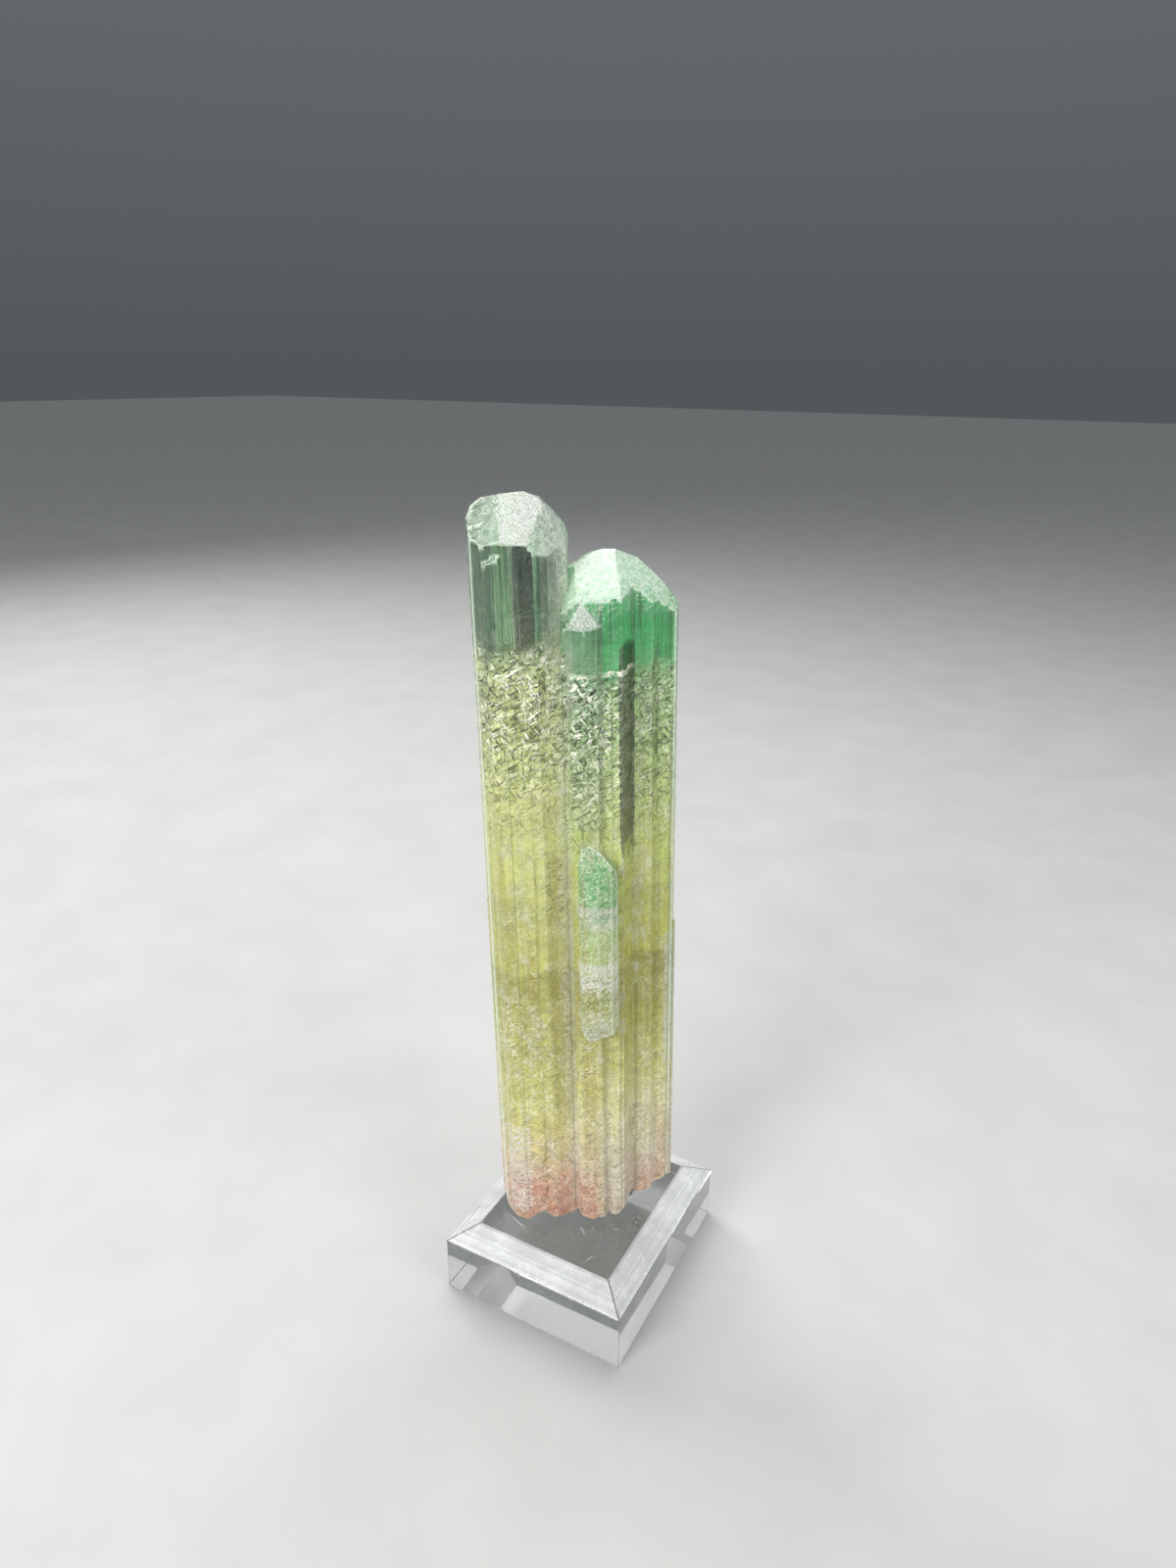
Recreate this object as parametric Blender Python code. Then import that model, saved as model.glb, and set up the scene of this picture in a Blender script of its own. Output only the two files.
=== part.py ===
"""A watermelon tourmaline crystal group glued upright on a clear bevelled block. Metres, +Z up, origin at the
middle of the block's underside, block sides along X and Y.

The crystal is modelled upright in its own frame: x across its broad front, y from front to back, z up from the
underside of the block. Its object is then turned and leaned into place on the block."""

import math
import random

import bmesh
import bpy
from mathutils import Matrix, Vector

MM = 0.001

# The block
BLOCK_SIDE_X = 25.4
BLOCK_SIDE_Y = 28.95
BLOCK_HEIGHT = 9.65
BLOCK_BEVEL_WIDTH = 3.35
BLOCK_BEVEL_DROP = 1.86

# How the crystal stands on the block
CRYSTAL_TURN_DEG = 28.28
CRYSTAL_LEAN_DEG = 1.6
TOUCH_GAP = 0.3

# Ribs that run the length of the prism faces
RIB_WIDTH = 1.35
RIB_DEPTH = 0.17
RIB_RISER = 0.10

# Thin growth blades: how far they stand out, how deep they root, and how far their tip is cut back
BLADE_PROUD_LEAST = 0.22
BLADE_PROUD_MOST = 0.42
BLADE_ROOT = 1.6
BLADE_TIP_CUT = 0.8

# Where the prisms start and stop before they are cut to their points and broken off at the foot
STOCK_BOTTOM = 4.0
STOCK_TOP = 106.0

# The broken foot: along its front edge, how high over the block it ends at each x
FOOT_FRONT_EDGE = (
    (-11.4, 4.0),
    (-10.7, 1.6),
    (-10.1, 0.6),
    (-7.2, 0.3),
    (-6.6, 1.4),
    (-4.9, 2.3),
    (-4.0, 1.2),
    (-3.3, 0.6),
    (-2.2, 0.8),
    (-0.6, 1.9),
    (0.2, 0.95),
    (1.3, 0.95),
    (2.1, 1.5),
    (3.2, 0.95),
    (4.6, 1.0),
    (5.4, 1.7),
    (5.9, 2.7),
    (6.6, 1.6),
    (8.4, 1.8),
    (9.5, 2.2),
    (10.4, 3.6),
    (11.5, 3.9),
)
FOOT_FRONT_Y = ((5.4, -4.0), (6.5, -1.0))
FOOT_FADE = 3.4
FOOT_ROUGHNESS = 0.3
FOOT_BACK_RIM = 0.5
FOOT_END_RISE = 0.3
FOOT_LEVEL_LENGTH = 14.0
FOOT_MIDDLE_X = 0.8

# The break's splinters
BREAK_LENGTH = 30.0
BREAK_WIDTH = 24.0
BREAK_TURN_DEG = 17.0
BREAK_COLUMNS = 22
BREAK_ROWS = 18
BREAK_SHIFT = 0.35

# The adhesive
PAD_LENGTH = 12.0
PAD_WIDTH = 4.6
PAD_CENTRE = (-1.4, 0.9)
PAD_THICKNESS = 1.1
PAD_SIDES = 20
PAD_CLEARANCE = 0.9
PAD_TOP_SCALE = (0.9, 0.85, 1.0)


def material(name, colour, roughness, transmission, ior):
    """A Principled material with a plain colour."""
    made = bpy.data.materials.new(name)
    made.use_nodes = True
    shader = made.node_tree.nodes["Principled BSDF"]
    shader.inputs["Base Color"].default_value = (*colour, 1.0)
    shader.inputs["Roughness"].default_value = roughness
    shader.inputs["Metallic"].default_value = 0.0
    shader.inputs["Transmission Weight"].default_value = transmission
    shader.inputs["IOR"].default_value = ior
    return made


def new_object(name, bm, look=None, helper=False):
    """An object from a bmesh in millimetres, with its faces turned outwards."""
    bmesh.ops.recalc_face_normals(bm, faces=bm.faces)
    bmesh.ops.transform(bm, matrix=Matrix.Scale(MM, 4), verts=bm.verts)
    mesh = bpy.data.meshes.new(name)
    bm.to_mesh(mesh)
    bm.free()
    obj = bpy.data.objects.new(name, mesh)
    bpy.context.scene.collection.objects.link(obj)
    if look:
        mesh.materials.append(look)
    if helper:
        obj.hide_render = True
        obj.display_type = "WIRE"
    return obj


def ribbed_outline(corners, rng, depth=RIB_DEPTH):
    """The prism's outline: each side between two corners is a row of ribs, every rib at its own small depth
    under the flat face, with a narrow riser from one to the next."""
    outline = []
    for index, start in enumerate(corners):
        start = Vector(start)
        side = Vector(corners[(index + 1) % len(corners)]) - start
        ribs = max(1, round(side.length / RIB_WIDTH))
        inward = Vector((-side.y, side.x)).normalized()
        steps = [rng.uniform(0.6, 1.4) for _ in range(ribs)]
        along = 0.0
        level = 0.0
        outline.append(start)
        for step in steps[:-1]:
            along += step / sum(steps)
            spot = start + side * along
            outline.append(spot + inward * level)
            level = depth * rng.choice((0.0, 0.45, 0.7, 1.0)) if level == 0.0 else 0.0
            outline.append(spot + side.normalized() * RIB_RISER + inward * level)
    return outline


def prism(outline, bottom, top):
    """A closed upright prism in a new bmesh. The outline runs anticlockwise seen from above."""
    bm = bmesh.new()
    bmesh.ops.create_circle(bm, segments=len(outline), radius=1.0, cap_ends=True)
    for vert, spot in zip(bm.verts, outline):
        vert.co = (spot[0], spot[1], bottom)
    grown = bmesh.ops.extrude_face_region(bm, geom=bm.faces[:])["geom"]
    raised = [item for item in grown if isinstance(item, bmesh.types.BMVert)]
    bmesh.ops.translate(bm, verts=raised, vec=(0.0, 0.0, top - bottom))
    return bm


def cut(bm, facing_deg, tilt_deg, through):
    """Cuts the bmesh flat and keeps what is behind the cut. The new face looks towards facing_deg (0 is +x, 90
    is +y) and leans back from level by tilt_deg. A tilt over 90 makes it look down."""
    facing = math.radians(facing_deg)
    tilt = math.radians(tilt_deg)
    normal = Vector(
        (
            math.sin(tilt) * math.cos(facing),
            math.sin(tilt) * math.sin(facing),
            math.cos(tilt),
        )
    )
    geometry = bm.verts[:] + bm.edges[:] + bm.faces[:]
    bmesh.ops.bisect_plane(
        bm, geom=geometry, dist=1e-5, plane_co=through, plane_no=normal, clear_outer=True
    )
    rim = [edge for edge in bm.edges if edge.is_boundary]
    bmesh.ops.holes_fill(bm, edges=rim, sides=0)


def cut_crystal(corners, facets, seed, bottom=STOCK_BOTTOM, top=STOCK_TOP, depth=RIB_DEPTH):
    """A ribbed prism with its end faces cut. Each facet is the way it faces, its tilt and a point on it."""
    bm = prism(ribbed_outline(corners, random.Random(seed), depth), bottom, top)
    for facing, tilt, through in facets:
        cut(bm, facing, tilt, through)
    return bm


def growth_blade(index, spot, facing_deg, width, bottom, top, rng):
    """A thin parallel crystal on a side face, that starts and ends at its own heights with a slanting face."""
    out = Vector((math.cos(math.radians(facing_deg)), math.sin(math.radians(facing_deg))))
    across = Vector((-out.y, out.x))
    proud = rng.uniform(BLADE_PROUD_LEAST, BLADE_PROUD_MOST)
    middle = Vector(spot)
    corners = [
        middle - across * width / 2 - out * BLADE_ROOT,
        middle - across * width / 2 + out * proud * 0.4,
        middle - across * width * 0.28 + out * proud,
        middle + across * width * 0.3 + out * proud * 0.92,
        middle + across * width / 2 + out * proud * 0.3,
        middle + across * width / 2 - out * BLADE_ROOT,
    ]
    bm = prism(corners, bottom, top)
    tip = middle + out * proud
    top_cut = (tip.x, tip.y, top - BLADE_TIP_CUT)
    cut(bm, facing_deg + rng.uniform(-25.0, 25.0), rng.uniform(50.0, 62.0), top_cut)
    if bottom > STOCK_BOTTOM:
        cut(bm, facing_deg, rng.uniform(118.0, 130.0), (tip.x, tip.y, bottom + BLADE_TIP_CUT))
    return new_object(f"growth_blade_{index}", bm, helper=True)


def left_crystal():
    """The taller crystal, with a blunt rounded head."""
    corners = [
        (-11.0, 0.9),
        (-10.35, -2.7),
        (-9.1, -4.5),
        (-6.9, -5.2),
        (-3.6, -5.45),
        (-2.3, -4.7),
        (-0.35, -2.2),
        (-0.3, 2.6),
        (-3.2, 4.9),
        (-7.6, 4.5),
        (-9.9, 2.8),
    ]
    facets = [
        (180.0, 8.0, (-6.6, 0.0, 102.25)),
        (175.0, 38.0, (-9.5, 0.0, 101.65)),
        (-178.0, 66.0, (-10.5, 0.0, 100.6)),
        (5.0, 21.0, (-4.0, 0.0, 102.1)),
        (0.0, 49.0, (-1.6, 0.0, 100.0)),
        (-4.0, 73.0, (-0.5, 0.0, 97.6)),
        (-88.0, 41.0, (-5.0, -5.45, 97.75)),
        (-122.0, 46.5, (-6.9, -5.2, 98.1)),
        (-155.0, 60.0, (-10.0, -3.6, 98.7)),
        (-52.0, 58.0, (-2.6, -4.7, 96.9)),
        (-20.0, 62.0, (-0.9, -2.8, 97.3)),
        (95.0, 30.0, (-5.0, 4.8, 99.6)),
        (140.0, 48.0, (-9.3, 4.3, 99.7)),
        (40.0, 47.0, (-1.6, 3.8, 98.6)),
    ]
    return cut_crystal(corners, facets, seed=11)


def right_crystal():
    """The shorter crystal. Its right half is set back behind a narrow side face."""
    corners = [
        (-1.75, -0.8),
        (-1.2, -3.2),
        (0.4, -4.3),
        (3.0, -4.45),
        (5.25, -4.3),
        (6.45, -1.2),
        (8.65, -0.9),
        (9.35, 0.1),
        (11.35, 0.7),
        (11.75, 3.2),
        (10.1, 5.9),
        (6.4, 7.8),
        (2.2, 7.2),
        (-0.9, 3.9),
    ]
    facets = [
        (180.0, 28.0, (-0.3, 0.0, 94.5)),
        (180.0, 16.0, (4.4, 1.0, 96.5)),
        (0.0, 16.0, (4.4, 1.0, 96.5)),
        (0.0, 52.5, (11.75, 3.0, 89.95)),
        (-92.0, 36.5, (4.6, -4.4, 91.9)),
        (-35.0, 49.0, (8.3, -1.0, 91.2)),
        (-150.0, 58.0, (-0.9, -3.4, 90.5)),
        (88.0, 33.0, (4.6, 7.4, 92.3)),
        (38.0, 50.0, (9.4, 6.0, 90.8)),
        (142.0, 52.0, (-0.2, 4.6, 92.0)),
    ]
    return cut_crystal(corners, facets, seed=23)


def front_side_crystal():
    """The smaller crystal on the front of the right one, with a three-cornered slanting face on top."""
    corners = [
        (-0.85, -3.0),
        (-0.55, -4.7),
        (-0.1, -5.35),
        (1.2, -5.6),
        (2.6, -5.4),
        (3.0, -4.8),
        (3.05, -3.4),
        (1.2, -2.0),
    ]
    facets = [
        (-90.0, 65.0, (1.1, -5.55, 89.0)),
        (0.0, 51.0, (1.1, -4.4, 91.6)),
        (180.0, 60.0, (1.0, -4.4, 91.6)),
        (90.0, 30.0, (1.1, -4.3, 91.7)),
    ]
    return cut_crystal(corners, facets, seed=31, depth=0.12)


def doubly_pointed_crystal():
    """The small crystal on the front face that is pointed at both ends, its points towards the left."""
    corners = [
        (0.05, -4.0),
        (0.1, -5.6),
        (0.75, -6.2),
        (2.4, -6.55),
        (3.95, -6.25),
        (4.65, -5.5),
        (4.7, -3.8),
    ]
    facets = [
        (180.0, 77.0, (0.25, -6.2, 62.6)),
        (0.0, 34.0, (0.8, -6.2, 65.1)),
        (0.0, 53.0, (3.0, -6.2, 63.5)),
        (0.0, 78.0, (4.6, -6.2, 60.9)),
        (-88.0, 77.0, (2.4, -6.5, 60.9)),
        (180.0, 117.5, (0.5, -6.2, 39.6)),
        (0.0, 154.0, (2.6, -6.2, 39.1)),
        (0.0, 121.0, (4.3, -6.2, 40.3)),
        (-92.0, 105.0, (2.4, -6.5, 41.4)),
    ]
    return cut_crystal(corners, facets, seed=43, bottom=34.0, top=70.0, depth=0.1)


def growth_blades():
    """The thin parallel crystals on all sides: place, the way it faces, width, bottom and top."""
    rng = random.Random(7)
    blades = [
        ((-8.05, -4.85), -107.0, 1.9, STOCK_BOTTOM, 96.7),
        ((-5.35, -5.3), -94.0, 1.5, STOCK_BOTTOM, 71.5),
        ((-10.6, -0.9), 190.0, 1.8, STOCK_BOTTOM, 56.0),
        ((-1.75, -3.75), -60.0, 1.5, STOCK_BOTTOM, 84.0),
        ((4.3, -4.35), -88.0, 1.3, STOCK_BOTTOM, 52.0),
        ((7.5, -1.05), -82.0, 1.4, STOCK_BOTTOM, 44.5),
        ((10.3, 0.4), -72.0, 1.3, STOCK_BOTTOM, 79.0),
        ((11.6, 2.0), -8.0, 1.9, STOCK_BOTTOM, 51.5),
        ((10.7, 4.7), 28.0, 2.0, 30.0, 84.0),
        ((8.2, 6.8), 60.0, 2.3, STOCK_BOTTOM, 68.0),
        ((4.2, 7.5), 98.0, 2.1, STOCK_BOTTOM, 86.0),
        ((0.5, 5.4), 136.0, 1.8, 20.0, 61.0),
        ((-2.0, 4.0), 52.0, 1.7, STOCK_BOTTOM, 83.0),
        ((-5.4, 4.75), 95.0, 2.4, STOCK_BOTTOM, 90.0),
        ((-8.7, 3.7), 128.0, 1.9, 34.0, 74.0),
        ((-10.4, 1.9), 155.0, 1.6, STOCK_BOTTOM, 81.0),
    ]
    return [
        growth_blade(index, spot, facing, width, bottom, top, rng)
        for index, (spot, facing, width, bottom, top) in enumerate(blades)
    ]


def between(x, stations):
    """The value at x on straight lines between stations of (x, value)."""
    if x <= stations[0][0]:
        return stations[0][1]
    for (x0, value0), (x1, value1) in zip(stations, stations[1:]):
        if x <= x1:
            return value0 + (value1 - value0) * (x - x0) / (x1 - x0)
    return stations[-1][1]


def foot_height(x, y, rng):
    """How high over the block the broken foot ends at one spot: the jagged front edge, which fades into a
    shallow hollow in the middle that holds the adhesive, and a lower rim round the back."""
    front = between(x, FOOT_FRONT_EDGE)
    back = FOOT_BACK_RIM + FOOT_END_RISE * max(0.0, abs(x - FOOT_MIDDLE_X) - FOOT_LEVEL_LENGTH / 2)
    share = min(max((y - between(x, FOOT_FRONT_Y)) / FOOT_FADE, 0.0), 1.0)
    height = front * (1.0 - share) + back * share
    hollow_x = (x - PAD_CENTRE[0]) / (PAD_LENGTH / 2 + PAD_CLEARANCE)
    hollow_y = (y - PAD_CENTRE[1]) / (PAD_WIDTH / 2 + PAD_CLEARANCE)
    if math.hypot(hollow_x, hollow_y) < 1.0:
        return max(height, PAD_THICKNESS + 2 * TOUCH_GAP + rng.uniform(0.0, FOOT_ROUGHNESS))
    return max(height + rng.uniform(-FOOT_ROUGHNESS, FOOT_ROUGHNESS), TOUCH_GAP)


def broken_foot():
    """The slab that breaks the foot off: a rough surface of flat splinters over a flat underside."""
    rng = random.Random(5)
    bm = bmesh.new()
    turn = Matrix.Rotation(math.radians(BREAK_TURN_DEG), 4, "Z")
    bmesh.ops.create_grid(bm, x_segments=BREAK_COLUMNS, y_segments=BREAK_ROWS, size=0.5)
    bmesh.ops.scale(bm, verts=bm.verts, vec=(BREAK_LENGTH, BREAK_WIDTH, 1.0))
    bmesh.ops.transform(bm, matrix=turn, verts=bm.verts)
    for vert in bm.verts:
        vert.co.x += rng.uniform(-BREAK_SHIFT, BREAK_SHIFT)
        vert.co.y += rng.uniform(-BREAK_SHIFT, BREAK_SHIFT)
        leaned = vert.co.x * math.tan(math.radians(CRYSTAL_LEAN_DEG))
        vert.co.z = BLOCK_HEIGHT + foot_height(vert.co.x, vert.co.y, rng) - leaned
    bmesh.ops.triangulate(bm, faces=bm.faces)
    grown = bmesh.ops.extrude_face_region(bm, geom=bm.faces[:])["geom"]
    lowered = [item for item in grown if isinstance(item, bmesh.types.BMVert)]
    for vert in lowered:
        vert.co.z = STOCK_BOTTOM - BREAK_SHIFT
    return new_object("broken_foot", bm, helper=True)


def boolean(obj, other, operation):
    """Joins or cuts with one helper by an exact Boolean."""
    modifier = obj.modifiers.new(f"{operation.title()} {other.name}", "BOOLEAN")
    modifier.operation = operation
    modifier.solver = "EXACT"
    modifier.object = other


def tourmaline_crystal(look):
    """The fused crystal group, turned and leaned as it stands on the block."""
    crystal = new_object("tourmaline_crystal", left_crystal(), look)
    joined = [
        new_object("right_crystal", right_crystal(), helper=True),
        new_object("front_side_crystal", front_side_crystal(), helper=True),
        new_object("doubly_pointed_crystal", doubly_pointed_crystal(), helper=True),
        *growth_blades(),
    ]
    for other in joined:
        boolean(crystal, other, "UNION")
    foot = broken_foot()
    boolean(crystal, foot, "DIFFERENCE")
    pivot = Matrix.Translation((0.0, 0.0, BLOCK_HEIGHT * MM))
    turn = Matrix.Rotation(math.radians(CRYSTAL_TURN_DEG), 4, "Z")
    lean = Matrix.Rotation(-math.radians(CRYSTAL_LEAN_DEG), 4, "Y")
    for obj in (crystal, foot, *joined):
        obj.matrix_world = pivot @ turn @ lean @ pivot.inverted()


def display_block(look):
    """The clear block: a box whose four top edges are cut to wide flat bevels."""
    bm = bmesh.new()
    bmesh.ops.create_cube(bm, size=1.0)
    bmesh.ops.scale(bm, verts=bm.verts, vec=(BLOCK_SIDE_X, BLOCK_SIDE_Y, BLOCK_HEIGHT))
    bmesh.ops.translate(bm, verts=bm.verts, vec=(0.0, 0.0, BLOCK_HEIGHT / 2))
    top = [face for face in bm.faces if face.normal.z > 0.5]
    bmesh.ops.inset_region(bm, faces=top, thickness=BLOCK_BEVEL_WIDTH, use_even_offset=True)
    rim = [
        vert
        for vert in bm.verts
        if abs(vert.co.z - BLOCK_HEIGHT) < 1e-4 and abs(vert.co.x) > BLOCK_SIDE_X / 2 - 0.01
    ]
    bmesh.ops.translate(bm, verts=rim, vec=(0.0, 0.0, -BLOCK_BEVEL_DROP))
    return new_object("display_block", bm, look)


def adhesive_pad(look):
    """The flat pad of clear adhesive between the block and the broken foot."""
    bm = bmesh.new()
    bmesh.ops.create_circle(bm, segments=PAD_SIDES, radius=1.0, cap_ends=True)
    bmesh.ops.scale(bm, verts=bm.verts, vec=(PAD_LENGTH / 2, PAD_WIDTH / 2, 1.0))
    grown = bmesh.ops.extrude_face_region(bm, geom=bm.faces[:])["geom"]
    raised = [item for item in grown if isinstance(item, bmesh.types.BMVert)]
    bmesh.ops.translate(bm, verts=raised, vec=(0.0, 0.0, PAD_THICKNESS))
    bmesh.ops.scale(bm, verts=raised, vec=PAD_TOP_SCALE)
    bmesh.ops.translate(bm, verts=bm.verts, vec=(*PAD_CENTRE, BLOCK_HEIGHT + TOUCH_GAP))
    turn = Matrix.Rotation(math.radians(CRYSTAL_TURN_DEG), 4, "Z")
    bmesh.ops.transform(bm, matrix=turn, verts=bm.verts)
    return new_object("adhesive_pad", bm, look)


def main():
    for obj in list(bpy.data.objects):
        bpy.data.objects.remove(obj, do_unlink=True)
    tourmaline = material("Green to pink tourmaline", (0.52, 0.62, 0.30), 0.06, 0.85, 1.63)
    acrylic = material("Clear acrylic", (0.93, 0.95, 0.95), 0.04, 1.0, 1.49)
    adhesive = material("Clear adhesive", (0.88, 0.88, 0.84), 0.35, 0.8, 1.46)
    tourmaline_crystal(tourmaline)
    display_block(acrylic)
    adhesive_pad(adhesive)


main()
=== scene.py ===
"""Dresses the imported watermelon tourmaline: a finer crystal with its inner fractures, the clear acrylic
block, the adhesive under the broken foot, a pale floor, soft light and the camera.

Lengths are in millimetres until a mesh is finished. The crystal is worked in its own frame: x across its
broad front, y from front to back, z up from the underside of the block."""

import math
import random
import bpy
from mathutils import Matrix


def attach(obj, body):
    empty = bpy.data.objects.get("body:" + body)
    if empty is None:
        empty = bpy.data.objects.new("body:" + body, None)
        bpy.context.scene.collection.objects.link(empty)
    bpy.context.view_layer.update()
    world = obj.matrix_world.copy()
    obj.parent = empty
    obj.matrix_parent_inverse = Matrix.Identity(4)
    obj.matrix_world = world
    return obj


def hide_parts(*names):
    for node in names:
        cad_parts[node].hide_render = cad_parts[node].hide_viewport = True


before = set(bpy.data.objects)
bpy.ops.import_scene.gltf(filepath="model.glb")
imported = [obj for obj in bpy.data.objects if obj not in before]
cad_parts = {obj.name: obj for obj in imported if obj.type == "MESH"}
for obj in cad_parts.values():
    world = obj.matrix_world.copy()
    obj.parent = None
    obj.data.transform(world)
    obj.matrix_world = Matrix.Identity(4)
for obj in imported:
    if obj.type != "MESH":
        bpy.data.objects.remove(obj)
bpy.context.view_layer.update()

from types import SimpleNamespace

import bmesh
import bpy
from mathutils import Matrix, Vector, noise

MM = 0.001

# The block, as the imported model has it
BLOCK_SIDE_X = 25.4
BLOCK_SIDE_Y = 28.95
BLOCK_HEIGHT = 9.65
BLOCK_BEVEL_WIDTH = 3.35
BLOCK_BEVEL_DROP = 1.86
BLOCK_EDGE_BREAK = 0.09

# What tells the wide bevels from the block's other faces: how far they face up, and their least area
BEVEL_RISE = (0.8, 0.95)
BEVEL_LEAST_AREA = 5.0

# Scratches in the top of the block: middle, turn in degrees and half length
SCRATCHES = (
    (3.0, -6.0, -39.0, 1.1),
    (5.9, -9.4, 62.0, 0.8),
    (-5.2, -8.8, -18.0, 1.6),
    (6.6, -3.6, 20.0, 0.5),
)
SCRATCH_WIDTH = 0.06

# The skin of adhesive: its half size, its middle under the crystal, and its layers, each with its share of
# the width of the one below and its height. It stays a hair off the block, which then mirrors as a clear
# one does.
SKIN_HALF_SIZE = (8.2, 3.4)
SKIN_MIDDLE = (-1.4, 0.9)
SKIN_LAYERS = ((1.0, 0.18), (0.93, 0.16), (0.72, 0.5), (0.6, 0.5))
ADHESIVE_GAP = 0.01

# Crumbs of adhesive beside the foot: place and size, and their height as a share of that size
CRUMBS = (
    (8.5, -1.2, 0.45),
    (7.9, -0.7, 0.3),
    (8.9, -1.8, 0.25),
    (8.1, -1.7, 0.18),
    (7.2, -2.4, 0.14),
    (6.9, -3.0, 0.12),
    (4.6, -6.3, 0.12),
    (3.9, -4.9, 0.1),
)
CRUMB_FLATNESS = 0.45

# How the crystal stands on the block
CRYSTAL_TURN = math.radians(28.28)
CRYSTAL_LEAN = math.radians(1.6)
STANDING = (
    Matrix.Translation((0.0, 0.0, BLOCK_HEIGHT))
    @ Matrix.Rotation(CRYSTAL_TURN, 4, "Z")
    @ Matrix.Rotation(-CRYSTAL_LEAN, 4, "Y")
    @ Matrix.Translation((0.0, 0.0, -BLOCK_HEIGHT))
)

# The plain outlines of the two tall crystals, anticlockwise seen from above
LEFT_OUTLINE = (
    (-11.0, 0.9),
    (-10.35, -2.7),
    (-9.1, -4.5),
    (-6.9, -5.2),
    (-3.6, -5.45),
    (-2.3, -4.7),
    (-0.35, -2.2),
    (-0.3, 2.6),
    (-3.2, 4.9),
    (-7.6, 4.5),
    (-9.9, 2.8),
)
RIGHT_OUTLINE = (
    (-1.75, -0.8),
    (-1.2, -3.2),
    (0.4, -4.3),
    (3.0, -4.45),
    (5.25, -4.3),
    (6.45, -1.2),
    (8.65, -0.9),
    (9.35, 0.1),
    (11.35, 0.7),
    (11.75, 3.2),
    (10.1, 5.9),
    (6.4, 7.8),
    (2.2, 7.2),
    (-0.9, 3.9),
)

# End faces: the way each one faces and its tilt from level, in degrees, and how frosted it is
FROSTED_FACES = (
    (-88.0, 41.0, 1.0),
    (180.0, 8.0, 0.85),
    (175.0, 38.0, 0.6),
    (-178.0, 66.0, 0.45),
    (5.0, 21.0, 0.85),
    (0.0, 49.0, 0.7),
    (-4.0, 73.0, 0.45),
    (-122.0, 46.5, 0.26),
    (-155.0, 60.0, 0.36),
    (-52.0, 58.0, 0.36),
    (-20.0, 62.0, 0.6),
    (180.0, 28.0, 0.45),
    (180.0, 16.0, 0.5),
    (0.0, 16.0, 0.5),
    (0.0, 52.5, 0.4),
    (-92.0, 36.5, 0.66),
    (-35.0, 49.0, 0.6),
    (-150.0, 58.0, 0.5),
    (-90.0, 65.0, 0.95),
)
SAME_FACE_WITHIN = math.radians(4.0)

# Frost of the other end faces, and the share of it on the growth blade's small end
PLAIN_END_FROST = 0.45
BLADE_END_FROST = 0.35

# Narrow faces painted nearly black, a painted shade for the dark surroundings seen in them: the corners they
# run between, and how dark they are
PAINTED_DARK_FACES = (
    ((5.25, -4.3), (6.45, -1.2), 1.0),
    ((8.65, -0.9), (9.35, 0.1), 0.6),
)

# Up the crystal they start to darken here, are dark after so many mm, and fade again under the head
PAINTED_DARK_FROM = 54.0
PAINTED_DARK_OVER = 14.0
PAINTED_DARK_LEAST = 0.12
PAINTED_DARK_TOP = 89.0
PAINTED_DARK_FADE = 3.0

# The outermost upright edges, which are rubbed white, their white partly a painted highlight
OUTER_ARRISES = ((-11.0, 0.9), (-10.35, -2.7), (11.35, 0.7), (11.75, 3.2))
OUTER_ARRIS_RUB_AND_HIGHLIGHT = 0.8
NEAR = 0.3

# Other edges are rubbed by how much sharper they are than this, in radians, and most of all on the end faces.
# Their white is partly wear and partly a painted highlight.
RUBBED_AND_HIGHLIT_FROM = 0.12
RUBBED_AND_HIGHLIT_ON_ENDS = 1.4
RUBBED_AND_HIGHLIT_ON_SMALL = 1.0
RUBBED_AND_HIGHLIT_ON_RIBS = 0.16
RUBBED_OFF = 0.05

# The seam between the two tall crystals: its two edges in front, how far back it is open, and how much of
# its depth is grown over below the heads
SEAM_LEFT = (-2.3, -4.7)
SEAM_RIGHT = (0.4, -4.3)
SEAM_BACK = -2.6
SEAM_GROWN_OVER = 0.7
SEAM_TOP = 87.0
SEAM_FADE = 4.0

# The side crystal on the front of the right one, and the end face of the growth blade on the left one
SIDE_CRYSTAL_X = (-1.2, 3.2)
SIDE_CRYSTAL_FRONT = -4.42
SIDE_CRYSTAL_FOOT = 66.0
BLADE_RIGHT = -5.5
BLADE_FRONT = -3.5
BLADE_TOP = 96.9

# The small crystal that is pointed at both ends: the slopes of its two points, each with a place across
# the front, the height there and its rise in mm for each mm to the right
SMALL_CRYSTAL_X = (-0.1, 4.9)
UPPER_POINT = ((0.25, 62.6, 4.3), (0.8, 65.1, -0.67), (3.0, 63.5, -1.33))
LOWER_POINT = ((0.5, 39.6, -1.92), (2.6, 39.1, 0.49), (4.3, 40.3, 1.66))
POINT_MARGIN = 0.2

# Over this height the seam opens into feathery cracks beside the heads
FEATHERED_HEAD = 79.0

# The crystal's working mesh: how fine it is scored, between which limits along x, y and z, how near
# corners are one, and how level two faces are that are made whole again
SLICE_HEIGHT = 0.62
SLICE_WIDTH = 0.36
CRYSTAL_REACH = ((-12.0, 13.0), (-7.0, 9.0), (8.0, 103.0))
TOUCHING = 1e-4
MERGED_WITHIN = 1e-3
WHOLE_WITHIN = math.radians(0.4)
SMOOTH_UNDER = math.radians(16.0)

# Over this height, faces that face up by more than this are end faces
HEAD_HEIGHT = 85.0
END_FACE_RISE = 0.2

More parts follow.
